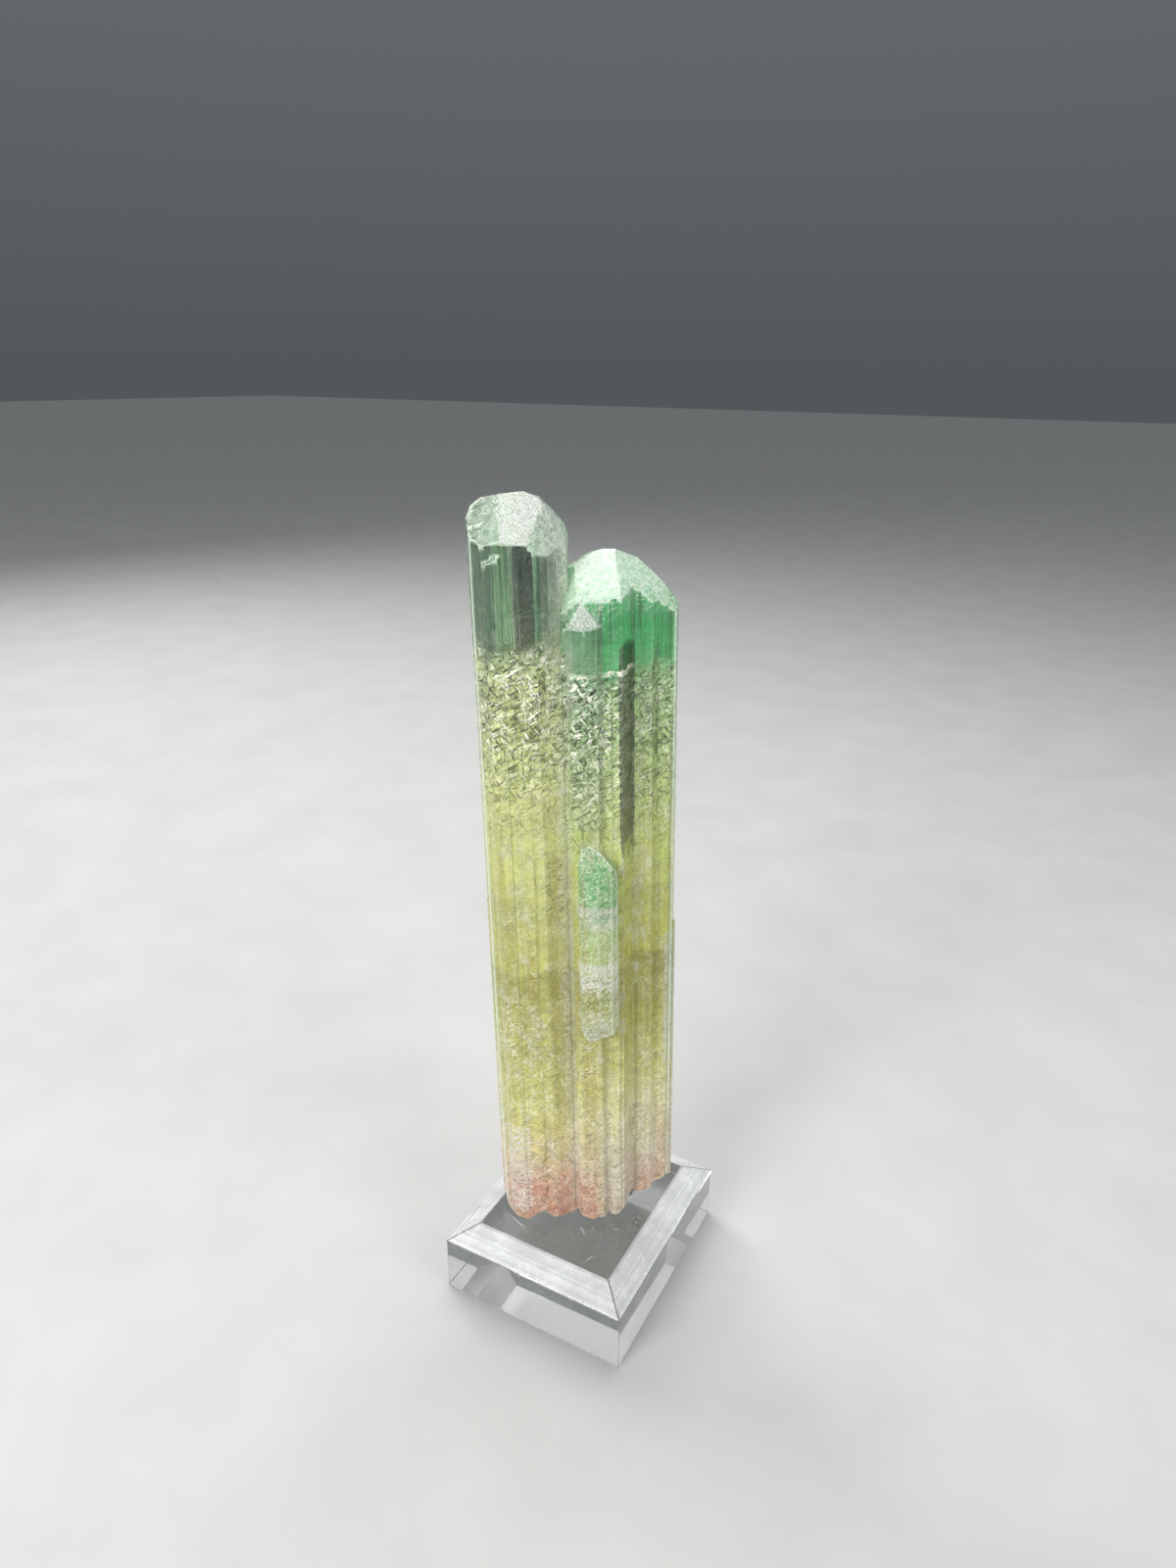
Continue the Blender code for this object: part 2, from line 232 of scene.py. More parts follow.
# Growth and wear in the mesh: how often each repeats in a millimetre along x, y and z, and its height or
# depth
STRIAE_PER_MM = (2.3, 2.3, 0.05)
STRIAE_HEIGHT = 0.045
HILLOCKS_PER_MM = (0.5, 0.5, 1.1)
HILLOCKS_SHIFT = Vector((7.0, 3.0, 1.0))
HILLOCK_HEIGHT = 0.03
PITS_PER_MM = 0.95
PITS_OVER = 0.38
PIT_DEPTH = 0.35

# The colour ramps run from the underside of the block up to this height. The borders between the zones
# wander over these lengths at most, further in the left crystal than in the right one.
ZONES_HIGH = 100.0
ZONE_WANDER = 9.0
LEVEL_WANDER = 4.5

# How far the ragged and the slightly crumpled patterns are pulled out of place at most
JAGGED_BY = 0.9
CRUMPLED_BY = 0.37

# Stains of the foot: from where to where across the front, how high, over what length they fade, how
# strong
FOOT_STAINS = (
    (-10.8, -6.6, 15.0, 9.0, 0.5, "#F2CDB8"),
    (-7.0, 2.8, 18.0, 14.0, 0.5, "#F4C4A0"),
    (-7.0, 2.6, 9.5, 4.5, 0.7, "#EEA68C"),
    (2.6, 7.4, 16.0, 8.0, 0.6, "#FFF6E4"),
    (7.3, 9.9, 7.5, 4.0, 0.6, "#F6C4AC"),
    (9.7, 12.5, 15.0, 4.0, 0.5, "#D8A272"),
)

# Strokes of the fractures: how they are turned, their size in mm, and the level over which they show
FRACTURE_STROKES = (
    ((0.4, 0.85, 0.0), (0.22, 0.24, 1.3), 0.59),
    ((-0.3, -0.7, 0.3), (0.2, 0.22, 1.1), 0.61),
    ((0.15, 1.3, 0.0), (0.18, 0.2, 1.5), 0.59),
    ((0.0, 0.1, 0.0), (0.18, 0.2, 1.8), 0.61),
)

# Splinters: how they are turned, their size in mm, and how much darker and brighter they are painted, as
# painted shade and light
SPLINTERS = (
    ((0.35, 0.95, 0.1), (0.24, 0.4, 1.2), (-0.42, 0.34)),
    ((-0.2, -0.6, 0.3), (0.18, 0.3, 0.8), (-0.35, 0.3)),
    ((0.2, 1.25, 0.0), (0.13, 0.25, 0.8), (-0.2, 0.2)),
)

# Films of the inner fractures: how many in each tall crystal, half the length of the longest, how far they
# stay inside, their warp as a share of that half length, and their thickness
FILMS_IN_EACH = 900
FILM_HALF_LENGTH = 1.3
FILM_MARGIN = 0.25
FILM_WARP = 0.5
FILM_THICKNESS = 0.04

# Floor, lamps (place, size and power in watts) and camera, with its angles in degrees
FLOOR_HALF_SIZE = 3000.0
FLOOR_DROP = 0.02
LIGHT_AIM_HEIGHT = 55.0
SOFTBOXES = (
    ("key_softbox", (-80.0, -390.0, 270.0), 200.0, 1.7),
    ("fill_softbox", (400.0, -70.0, 330.0), 240.0, 0.9),
    ("top_softbox", (-40.0, 120.0, 400.0), 240.0, 1.0),
    ("back_softbox", (-400.0, 150.0, 330.0), 240.0, 1.4),
)
CAMERA_SPOT = (51.5, -96.3, 114.1)
CAMERA_TURN = 28.28
CAMERA_DOWN = 22.05
CAMERA_ROLL = 0.73
CAMERA_LENS = 23.625
CAMERA_SENSOR = 36.0


def linear(code):
    """A colour from its sRGB hex code."""
    shares = [int(code[place : place + 2], 16) / 255 for place in (1, 3, 5)]
    light = [share / 12.92 if share <= 0.04045 else ((share + 0.055) / 1.055) ** 2.4 for share in shares]
    return (*light, 1.0)


def add(tree, kind, inputs=None, stops=(), **settings):
    """Adds a node with its settings and its ramp's stops. Each input takes a value, a socket, or a node,
    whose first working output is used."""
    made = tree.nodes.new(f"ShaderNode{kind}")
    for name, value in settings.items():
        setattr(made, name, value)
    if stops:
        steps = made.color_ramp.elements
        while len(steps) < len(stops):
            steps.new(1.0)
        for step, (place, colour) in zip(steps, stops):
            step.position = place
            step.color = linear(colour) if isinstance(colour, str) else (colour, colour, colour, 1.0)
    for name, value in (inputs or {}).items():
        if isinstance(name, int):
            socket = made.inputs[name]
        else:
            socket = next(item for item in made.inputs if item.enabled and item.name == name)
        if isinstance(value, bpy.types.Node):
            value = next(item for item in value.outputs if item.enabled)
        if isinstance(value, bpy.types.NodeSocket):
            tree.links.new(value, socket)
        elif isinstance(value, str):
            socket.default_value = linear(value)
        else:
            socket.default_value = value
    return made


def new_material(name, ior):
    """An empty material: its tree, and its shader with that IOR."""
    made = bpy.data.materials.new(name)
    made.use_nodes = True
    tree = made.node_tree
    shader = tree.nodes["Principled BSDF"]
    shader.inputs["IOR"].default_value = ior
    return made, tree, shader


def finish_shader(tree, shader, **inputs):
    """Links or sets the shader's sockets. Names have underscores for spaces."""
    for name, value in inputs.items():
        socket = shader.inputs[name.replace("_", " ")]
        if isinstance(value, bpy.types.Node):
            value = next(item for item in value.outputs if item.enabled)
        if isinstance(value, bpy.types.NodeSocket):
            tree.links.new(value, socket)
        else:
            socket.default_value = value


def crystal_places(tree):
    """What the crystal's patterns are placed by: the spot in the crystal's own frame in millimetres,
    ragged and wandering copies of it, and what the mesh stores on its corners."""
    at = SimpleNamespace()
    spot = add(tree, "TexCoord").outputs["Object"]
    at.grown = add(
        tree,
        "Mapping",
        {
            "Vector": spot,
            "Location": (0.0, 0.0, BLOCK_HEIGHT * MM),
            "Rotation": (0.0, -CRYSTAL_LEAN, CRYSTAL_TURN),
            "Scale": (MM, MM, MM),
        },
        vector_type="TEXTURE",
    )
    at.place = add(tree, "SeparateXYZ", {"Vector": at.grown})
    for name in ("frost", "rim", "deep", "doubly_pointed", "front_side", "etched", "feather"):
        setattr(at, name, add(tree, "Attribute", attribute_name=name).outputs["Fac"])

    # A ragged and a slightly crumpled copy of the place, for everything that is broken
    crumpling = add(tree, "TexNoise", {"Vector": at.grown, "Scale": 1.4, "Detail": 3.0, "Roughness": 0.65})
    at.jagged = add(tree, "VectorMath", {0: crumpling.outputs["Color"], "Scale": JAGGED_BY}, operation="SCALE")
    at.jagged = add(tree, "VectorMath", {0: at.grown, 1: at.jagged}, operation="ADD")
    at.bent = add(tree, "VectorMath", {0: crumpling.outputs["Color"], "Scale": CRUMPLED_BY}, operation="SCALE")
    at.bent = add(tree, "VectorMath", {0: at.grown, 1: at.bent}, operation="ADD")
    at.torn = add(tree, "SeparateXYZ", {"Vector": at.jagged}).outputs["Z"]
    at.torn_across = add(tree, "SeparateXYZ", {"Vector": at.jagged}).outputs["X"]

    # Growth zones: their boundaries wander by a few millimetres
    at.drift = add(tree, "TexNoise", {"Vector": at.grown, "Scale": 0.17, "Detail": 3.0, "Roughness": 0.6})
    at.shift = add(tree, "Math", {0: at.drift, 1: -0.5}, operation="ADD")
    at.shift = add(
        tree,
        "Math",
        {0: at.shift, 1: ZONE_WANDER, 2: at.place.outputs["Z"]},
        operation="MULTIPLY_ADD",
    )
    at.share = add(tree, "Math", {0: at.shift, 1: ZONES_HIGH}, operation="DIVIDE")
    at.waves = add(tree, "TexNoise", {"Vector": at.grown, "Scale": 0.32, "Detail": 4.0, "Roughness": 0.6})
    at.waves = add(tree, "Math", {0: at.waves, 1: -0.5}, operation="ADD")
    at.waves = add(
        tree,
        "Math",
        {0: at.waves, 1: LEVEL_WANDER, 2: at.place.outputs["Z"]},
        operation="MULTIPLY_ADD",
    )
    at.level = add(tree, "Math", {0: at.waves, 1: ZONES_HIGH}, operation="DIVIDE")
    at.parting = add(tree, "TexNoise", {"Vector": at.grown, "Scale": 0.5, "Detail": 2.0})
    at.parting = add(
        tree,
        "Math",
        {0: at.parting, 1: 1.6, 2: at.place.outputs["X"]},
        operation="MULTIPLY_ADD",
    )
    at.parting = add(tree, "MapRange", {"Value": at.parting, "From Min": -0.9, "From Max": 0.5})
    at.under = add(tree, "Math", {0: at.level, 1: 0.035}, operation="ADD")
    at.under = add(tree, "Mix", {"Factor": at.parting, "A": at.share, "B": at.under}, data_type="FLOAT")

    # Striae: growth lines a few tenths of a millimetre apart that run the length of the prism
    along = add(tree, "Mapping", {"Vector": at.grown, "Scale": (2.6, 2.6, 0.035)})
    at.striae = add(tree, "TexNoise", {"Vector": along, "Scale": 1.0, "Detail": 3.0, "Roughness": 0.65})

    # Clouds of the finest fractures, one or two millimetres wide
    at.clouds = add(tree, "Mapping", {"Vector": at.jagged, "Scale": (1.5, 1.5, 2.8)}, vector_type="TEXTURE")
    at.clouds = add(tree, "TexNoise", {"Vector": at.clouds, "Scale": 1.0, "Detail": 4.0, "Roughness": 0.6})
    at.clouds = add(tree, "MapRange", {"Value": at.clouds, "From Min": 0.53, "From Max": 0.68})
    return at


def zone_colours(tree, at):
    """The colours that the crystal grew in, from the foot up, in its left, right and two small parts."""
    left_zones = add(
        tree,
        "ValToRGB",
        {"Fac": at.share},
        stops=(
            (0.0, "#F0B49C"),
            (0.055, "#EFAE92"),
            (0.08, "#EED2A0"),
            (0.13, "#E8DE8C"),
            (0.2, "#E2E080"),
            (0.33, "#E4E27A"),
            (0.37, "#DAD868"),
            (0.42, "#E8EA88"),
            (0.5, "#EDF092"),
            (0.62, "#ECF49C"),
            (0.74, "#DFF09C"),
            (0.79, "#C0DEA4"),
            (0.86, "#D2E9CE"),
            (0.92, "#EAF4E8"),
        ),
    )
    right_zones = add(
        tree,
        "ValToRGB",
        {"Fac": at.level},
        stops=(
            (0.0, "#F8D0B8"),
            (0.05, "#FCE4CA"),
            (0.09, "#FEF4D0"),
            (0.16, "#FCF6BE"),
            (0.22, "#ECE88C"),
            (0.3, "#DEDA6C"),
            (0.37, "#CCCA54"),
            (0.4, "#DCDE68"),
            (0.5, "#E2EC82"),
            (0.6, "#DAF096"),
            (0.71, "#C4F0A0"),
            (0.738, "#B2EC9E"),
            (0.745, "#62D484"),
            (0.8, "#5AD282"),
            (0.83, "#8CDA9E"),
            (0.88, "#B4E8BC"),
        ),
    )
    zones = add(tree, "Mix", {"Factor": at.parting, "A": left_zones, "B": right_zones}, data_type="RGBA")
    small_zones = add(
        tree,
        "ValToRGB",
        {"Fac": add(tree, "MapRange", {"Value": at.torn, "From Min": 28.4, "From Max": 58.4})},
        stops=(
            (0.0, "#F4F6E6"),
            (0.08, "#E2E8BE"),
            (0.16, "#D8DFA0"),
            (0.22, "#BBC466"),
            (0.295, "#BEC86C"),
            (0.305, "#F6F9E4"),
            (0.335, "#D5E0A0"),
            (0.36, "#D9E8B0"),
            (0.392, "#F6FAE8"),
            (0.41, "#CCE28E"),
            (0.55, "#C6E698"),
            (0.575, "#E6F4DA"),
            (0.6, "#B4DEB0"),
            (0.64, "#F0F9EA"),
            (0.66, "#7CCB84"),
            (0.8, "#80CE88"),
            (0.87, "#B0E0AA"),
            (0.95, "#F0F8EA"),
        ),
    )
    side_green = add(
        tree,
        "ValToRGB",
        {"Fac": add(tree, "MapRange", {"Value": at.shift, "From Min": 55.0, "From Max": 82.0})},
        stops=((0.0, "#D2E092"), (0.35, "#BCDD9C"), (0.7, "#A2D0A2"), (0.88, "#86C49A"), (1.0, "#D8EDD8")),
    )
    zones = add(tree, "Mix", {"Factor": at.front_side, "A": zones, "B": side_green}, data_type="RGBA")
    zones = add(tree, "Mix", {"Factor": at.doubly_pointed, "A": zones, "B": small_zones}, data_type="RGBA")
    return zones


def striated(tree, at, toned):
    """Shades the zones by striae, terraces and level growth lines."""
    across = add(tree, "Mapping", {"Vector": at.grown, "Scale": (0.14, 0.14, 1.1)})
    terraces = add(tree, "TexNoise", {"Vector": across, "Scale": 1.0, "Detail": 4.0, "Distortion": 0.5})
    shade = add(tree, "Math", {0: at.striae, 1: terraces}, operation="ADD")
    shade = add(
        tree,
        "MapRange",
        {"Value": shade, "From Min": 0.7, "From Max": 1.15, "To Min": 0.84, "To Max": 1.1},
    )

    # Growth lines: level, wavy, each with a darker band under it
    bands = add(
        tree,
        "ValToRGB",
        {"Fac": at.level},
        stops=(
            (0.18, 0.82),
            (0.28, 0.72),
            (0.38, 0.58),
            (0.384, 0.86),
            (0.4, 0.76),
            (0.474, 0.66),
            (0.479, 0.8),
            (0.506, 0.7),
            (0.511, 0.8),
            (0.54, 0.77),
            (0.572, 0.71),
            (0.576, 0.82),
            (0.62, 0.76),
            (0.66, 0.76),
        ),
    )
    shade = add(tree, "Math", {0: shade, 1: bands.outputs["Color"]}, operation="MULTIPLY")
    shade = add(tree, "Math", {0: shade, 1: 1.38}, operation="MULTIPLY")
    toned = add(
        tree,
        "Mix",
        {"Factor": 1.0, "A": toned, "B": add(tree, "CombineColor", {0: shade, 1: shade, 2: shade})},
        data_type="RGBA",
        blend_type="MULTIPLY",
    )
    return toned


def golden_body(tree, at, toned):
    """The body is more golden in upright columns a few millimetres wide, and clouded white in places."""
    body = add(tree, "MapRange", {"Value": at.shift, "From Min": 66.0, "From Max": 54.0})
    golden = add(tree, "Mapping", {"Vector": at.grown, "Scale": (1.9, 1.9, 26.0)}, vector_type="TEXTURE")
    golden = add(tree, "TexNoise", {"Vector": golden, "Scale": 1.0, "Detail": 3.0, "Roughness": 0.6})
    golden = add(tree, "MapRange", {"Value": golden, "From Min": 0.5, "From Max": 0.66, "To Max": 0.6})
    golden = add(tree, "Math", {0: golden, 1: body}, operation="MULTIPLY")
    toned = add(tree, "Mix", {"Factor": golden, "A": toned, "B": "#BDAE42"}, data_type="RGBA")
    pale = add(tree, "Math", {0: at.clouds, 1: 0.6}, operation="MULTIPLY")
    pale = add(tree, "Math", {0: pale, 1: body}, operation="MULTIPLY")
    toned = add(tree, "Mix", {"Factor": pale, "A": toned, "B": "#FCFBE2"}, data_type="RGBA")

    # Beside the seam a column is darker, with fine level marks across it
    beside = add(tree, "Math", {0: at.torn_across, 1: 1.6}, operation="ADD")
    beside = add(tree, "Math", {0: beside}, operation="ABSOLUTE")
    beside = add(tree, "MapRange", {"Value": beside, "From Min": 1.6, "From Max": 1.1})
    reach = add(
        tree,
        "ValToRGB",
        {"Fac": at.level},
        stops=((0.14, 0.0), (0.2, 0.5), (0.5, 0.4), (0.56, 0.0)),
    )
    darker = add(tree, "Math", {0: beside, 1: reach.outputs["Color"]}, operation="MULTIPLY")
    toned = add(tree, "Mix", {"Factor": darker, "A": toned, "B": "#B3A645"}, data_type="RGBA")
    marks = add(tree, "Mapping", {"Vector": at.jagged, "Scale": (0.9, 0.9, 0.16)}, vector_type="TEXTURE")
    marks = add(tree, "TexNoise", {"Vector": marks, "Scale": 1.0, "Detail": 2.0})
    marks = add(tree, "MapRange", {"Value": marks, "From Min": 0.54, "From Max": 0.62})
    reach = add(
        tree,
        "ValToRGB",
        {"Fac": at.level},
        stops=((0.44, 0.0), (0.46, 0.8), (0.52, 0.8), (0.535, 0.0)),
    )
    marks = add(tree, "Math", {0: marks, 1: reach.outputs["Color"]}, operation="MULTIPLY")
    marks = add(tree, "Math", {0: marks, 1: beside}, operation="MULTIPLY")
    toned = add(tree, "Mix", {"Factor": marks, "A": toned, "B": "#5E5A24"}, data_type="RGBA")
    return toned


def glassy_heads(tree, at, toned):
    """The left head is glassy: its faces are mint, and painted near-black as painted shade where the dark
    surroundings are seen through them. In both heads the striae show as dark and bright streaks."""
    wavering = add(tree, "Math", {0: at.striae, 1: 1.6, 2: at.place.outputs["X"]}, operation="MULTIPLY_ADD")
    # Mint crystal colour, and near-black as painted shade for the dark surroundings seen through the clear
    # head
    columns = add(
        tree,
        "ValToRGB",
        {"Fac": add(tree, "MapRange", {"Value": wavering, "From Min": -9.7, "From Max": 0.3})},
        stops=(
            (0.0, "#D5E8D8"),
            (0.07, "#64836E"),
            (0.16, "#90AE98"),
            (0.24, "#5E7E6A"),
            (0.27, "#DFF4DE"),
            (0.3, "#A4E8A4"),
            (0.44, "#BCF0B4"),
            (0.47, "#E8F6E6"),
            (0.49, "#090E0A"),
            (0.58, "#1C2820"),
            (0.67, "#0C130F"),
            (0.7, "#7CC890"),
            (0.78, "#92AC9A"),
            (0.87, "#56665C"),
            (0.94, "#D2E2D6"),
        ),
    )
    glassy = add(tree, "MapRange", {"Value": at.shift, "From Min": 75.0, "From Max": 78.5})
    left_head = add(
        tree,
        "MapRange",
        {"Value": at.place.outputs["X"], "From Min": -0.9, "From Max": -1.6, "To Max": 0.9},
    )
    unfrosted = add(tree, "MapRange", {"Value": at.frost, "From Min": 0.42, "From Max": 0.1})
    glassy = add(tree, "Math", {0: glassy, 1: unfrosted}, operation="MULTIPLY")
    left_head = add(tree, "Math", {0: left_head, 1: glassy}, operation="MULTIPLY")
    toned = add(tree, "Mix", {"Factor": left_head, "A": toned, "B": columns}, data_type="RGBA")
    streak = add(tree, "MapRange", {"Value": at.striae, "From Min": 0.48, "From Max": 0.41, "To Max": 0.75})
    streak = add(tree, "Math", {0: streak, 1: glassy}, operation="MULTIPLY")
    toned = add(tree, "Mix", {"Factor": streak, "A": toned, "B": "#2F5A40"}, data_type="RGBA")
    bright_streak = add(tree, "MapRange", {"Value": at.striae, "From Min": 0.61, "From Max": 0.66})
    bright_streak = add(tree, "Math", {0: bright_streak, 1: glassy}, operation="MULTIPLY")
    toned = add(tree, "Mix", {"Factor": bright_streak, "A": toned, "B": "#F2FAF0"}, data_type="RGBA")
    return toned


def pink_foot(tree, at, toned):
    """Salmon pink in the middle, paler to the left and white to the right, with rust in the right
    edge."""
    low = add(tree, "TexNoise", {"Vector": at.grown, "Scale": 0.45, "Detail": 4.0, "Roughness": 0.6})
    low = add(tree, "Math", {0: low, 1: -0.5}, operation="ADD")
    low = add(tree, "Math", {0: low, 1: ZONE_WANDER, 2: at.place.outputs["Z"]}, operation="MULTIPLY_ADD")
    for left, right, highest, fade, most, colour in FOOT_STAINS:
        middle = add(tree, "Math", {0: at.torn_across, 1: -(left + right) / 2}, operation="ADD")
        middle = add(tree, "Math", {0: middle}, operation="ABSOLUTE")
        half = (right - left) / 2
        middle = add(tree, "MapRange", {"Value": middle, "From Min": half, "From Max": half - 0.8})
        edge = add(
            tree,
            "MapRange",
            {"Value": low, "From Min": highest, "From Max": highest - fade, "To Max": most},
        )
        edge = add(tree, "Math", {0: edge, 1: middle}, operation="MULTIPLY")
        toned = add(tree, "Mix", {"Factor": edge, "A": toned, "B": colour}, data_type="RGBA")
    return toned


def fracture_patterns(tree, at):
    """The strokes and grains of the healed fractures, shared by the colours and the bump."""
    # Thin strokes that slant, lie and stand, about 0.2 mm wide and one or two long
    at.lines = None
    for turned, size, thinnest in FRACTURE_STROKES:
        laid = add(
            tree,
            "Mapping",
            {"Vector": at.bent, "Rotation": turned, "Scale": size},
            vector_type="TEXTURE",
        )
        laid = add(tree, "TexNoise", {"Vector": laid, "Scale": 1.0, "Detail": 3.0, "Roughness": 0.6})
        strokes = add(tree, "MapRange", {"Value": laid, "From Min": thinnest, "From Max": thinnest + 0.035})
        if at.lines is None:
            at.lines = strokes
        else:
            at.lines = add(tree, "Math", {0: at.lines, 1: strokes}, operation="MAXIMUM")
    grain = add(tree, "TexNoise", {"Vector": at.grown, "Scale": 3.4, "Detail": 4.0, "Roughness": 0.75})
    at.sparks = add(tree, "MapRange", {"Value": grain, "From Min": 0.58, "From Max": 0.64})
    at.kept = add(tree, "MapRange", {"Value": grain, "From Min": 0.4, "From Max": 0.48})
    at.slanting = add(
        tree,
        "Mapping",
        {"Vector": at.bent, "Rotation": (0.2, 0.8, 0.0), "Scale": (0.4, 0.4, 2.4)},
        vector_type="TEXTURE",
    )
    at.slanting = add(
        tree,
        "TexNoise",
        {"Vector": at.slanting, "Scale": 1.0, "Detail": 4.0, "Roughness": 0.65},
    )
    calmer = add(
        tree,
        "MapRange",
        {"Value": at.torn_across, "From Min": 6.0, "From Max": 8.0, "To Min": 1.0, "To Max": 0.35},
    )
    at.gathered = add(tree, "TexNoise", {"Vector": at.bent, "Scale": 0.42, "Detail": 3.0, "Roughness": 0.6})
    at.gathered = add(
        tree,
        "MapRange",
        {"Value": at.gathered, "From Min": 0.42, "From Max": 0.56, "To Min": 0.25},
    )
    at.gathered = add(tree, "Math", {0: at.gathered, 1: calmer}, operation="MULTIPLY")


def splintered(tree, at, toned):
    """Between the fractures the broken crystal lies in splinters, each painted brighter or darker than the
    next as painted light and shade. Gives the colour, and where a splinter catches the light or shows none,
    for painted glints and painted shade."""
    shattered = add(
        tree,
        "ValToRGB",
        {"Fac": at.under},
        stops=(
            (0.0, 0.3),
            (0.12, 0.25),
            (0.3, 0.18),
            (0.4, 0.1),
            (0.56, 0.14),
            (0.64, 0.6),
            (0.7, 0.95),
            (0.77, 1.0),
            (0.79, 0.0),
        ),
    )
    lit = None
    unlit = None
    for turned, size, tone_range in SPLINTERS:
        broken = add(
            tree,
            "Mapping",
            {"Vector": at.bent, "Rotation": turned, "Scale": size},
            vector_type="TEXTURE",
        )
        broken = add(tree, "TexVoronoi", {"Vector": broken, "Scale": 1.0}).outputs["Color"]
        broken = add(tree, "SeparateColor", {"Color": broken})
        lowest, highest = tone_range
        tone = add(tree, "MapRange", {"Value": broken.outputs["Red"], "To Min": lowest, "To Max": highest})
        tone = add(tree, "Math", {0: tone, 1: shattered, 2: 1.0}, operation="MULTIPLY_ADD")
        tone = add(tree, "CombineColor", {0: tone, 1: tone, 2: tone})
        toned = add(
            tree,
            "Mix",
            {"Factor": 1.0, "A": toned, "B": tone},
            data_type="RGBA",
            blend_type="MULTIPLY",
        )
        bright = add(
            tree,
            "MapRange",
            {"Value": broken.outputs["Green"], "From Min": 0.9, "From Max": 0.93},
        )
        dark = add(tree, "MapRange", {"Value": broken.outputs["Blue"], "From Min": 0.09, "From Max": 0.06})
        lit = bright if lit is None else add(tree, "Math", {0: lit, 1: bright}, operation="MAXIMUM")
        unlit = dark if unlit is None else add(tree, "Math", {0: unlit, 1: dark}, operation="MAXIMUM")
    lit = add(tree, "Math", {0: lit, 1: shattered}, operation="MULTIPLY")
    lit = add(tree, "Math", {0: lit, 1: at.gathered}, operation="MULTIPLY")
    unlit = add(tree, "Math", {0: unlit, 1: shattered}, operation="MULTIPLY")
    return toned, lit, unlit


def gaps_and_painted_dark_faces(tree, at, toned, unlit):
    """Gaps between the splinters, with painted shade on the splinters that show no light, and narrow faces
    painted as a painted shade for the dark surroundings seen in them: nearly black. Gives the colour, the gaps
    and the shadowed faces."""
    open_part = add(
        tree,
        "ValToRGB",
        {"Fac": at.under},
        stops=((0.0, 0.15), (0.3, 0.2), (0.45, 0.12), (0.58, 0.2), (0.66, 0.55), (0.76, 0.7), (0.79, 0.0)),
    )
    gaps = add(tree, "MapRange", {"Value": at.slanting, "From Min": 0.45, "From Max": 0.38})
    upright = add(tree, "Mapping", {"Vector": at.grown, "Scale": (0.2, 0.2, 9.0)}, vector_type="TEXTURE")
    upright = add(tree, "TexNoise", {"Vector": upright, "Scale": 1.0, "Detail": 2.0})
    upright = add(tree, "MapRange", {"Value": upright, "From Min": 0.6, "From Max": 0.66})
    gaps = add(tree, "Math", {0: gaps, 1: upright}, operation="MAXIMUM")
    gaps = add(tree, "Math", {0: gaps, 1: open_part}, operation="MULTIPLY")
    # Splinters that show no light join the gaps as painted shade
    gaps = add(tree, "Math", {0: gaps, 1: unlit}, operation="MAXIMUM")
    toned = add(tree, "Mix", {"Factor": gaps, "A": toned, "B": "#36431E"}, data_type="RGBA")

    # Narrow faces painted nearly black: a painted shade for the dark surroundings seen in them, broken up by
    # noise
    shadowed = add(tree, "Mapping", {"Vector": at.bent, "Scale": (0.8, 0.8, 2.6)}, vector_type="TEXTURE")
    shadowed = add(tree, "TexNoise", {"Vector": shadowed, "Scale": 1.0, "Detail": 5.0, "Roughness": 0.7})
    shadowed = add(tree, "Math", {0: at.deep, 1: shadowed}, operation="SUBTRACT")
    shadowed = add(
        tree,
        "MapRange",
        {"Value": shadowed, "From Min": 0.02, "From Max": 0.22, "To Max": 0.93},
    )
    toned = add(tree, "Mix", {"Factor": shadowed, "A": toned, "B": "#131D12"}, data_type="RGBA")
    return toned, gaps, shadowed


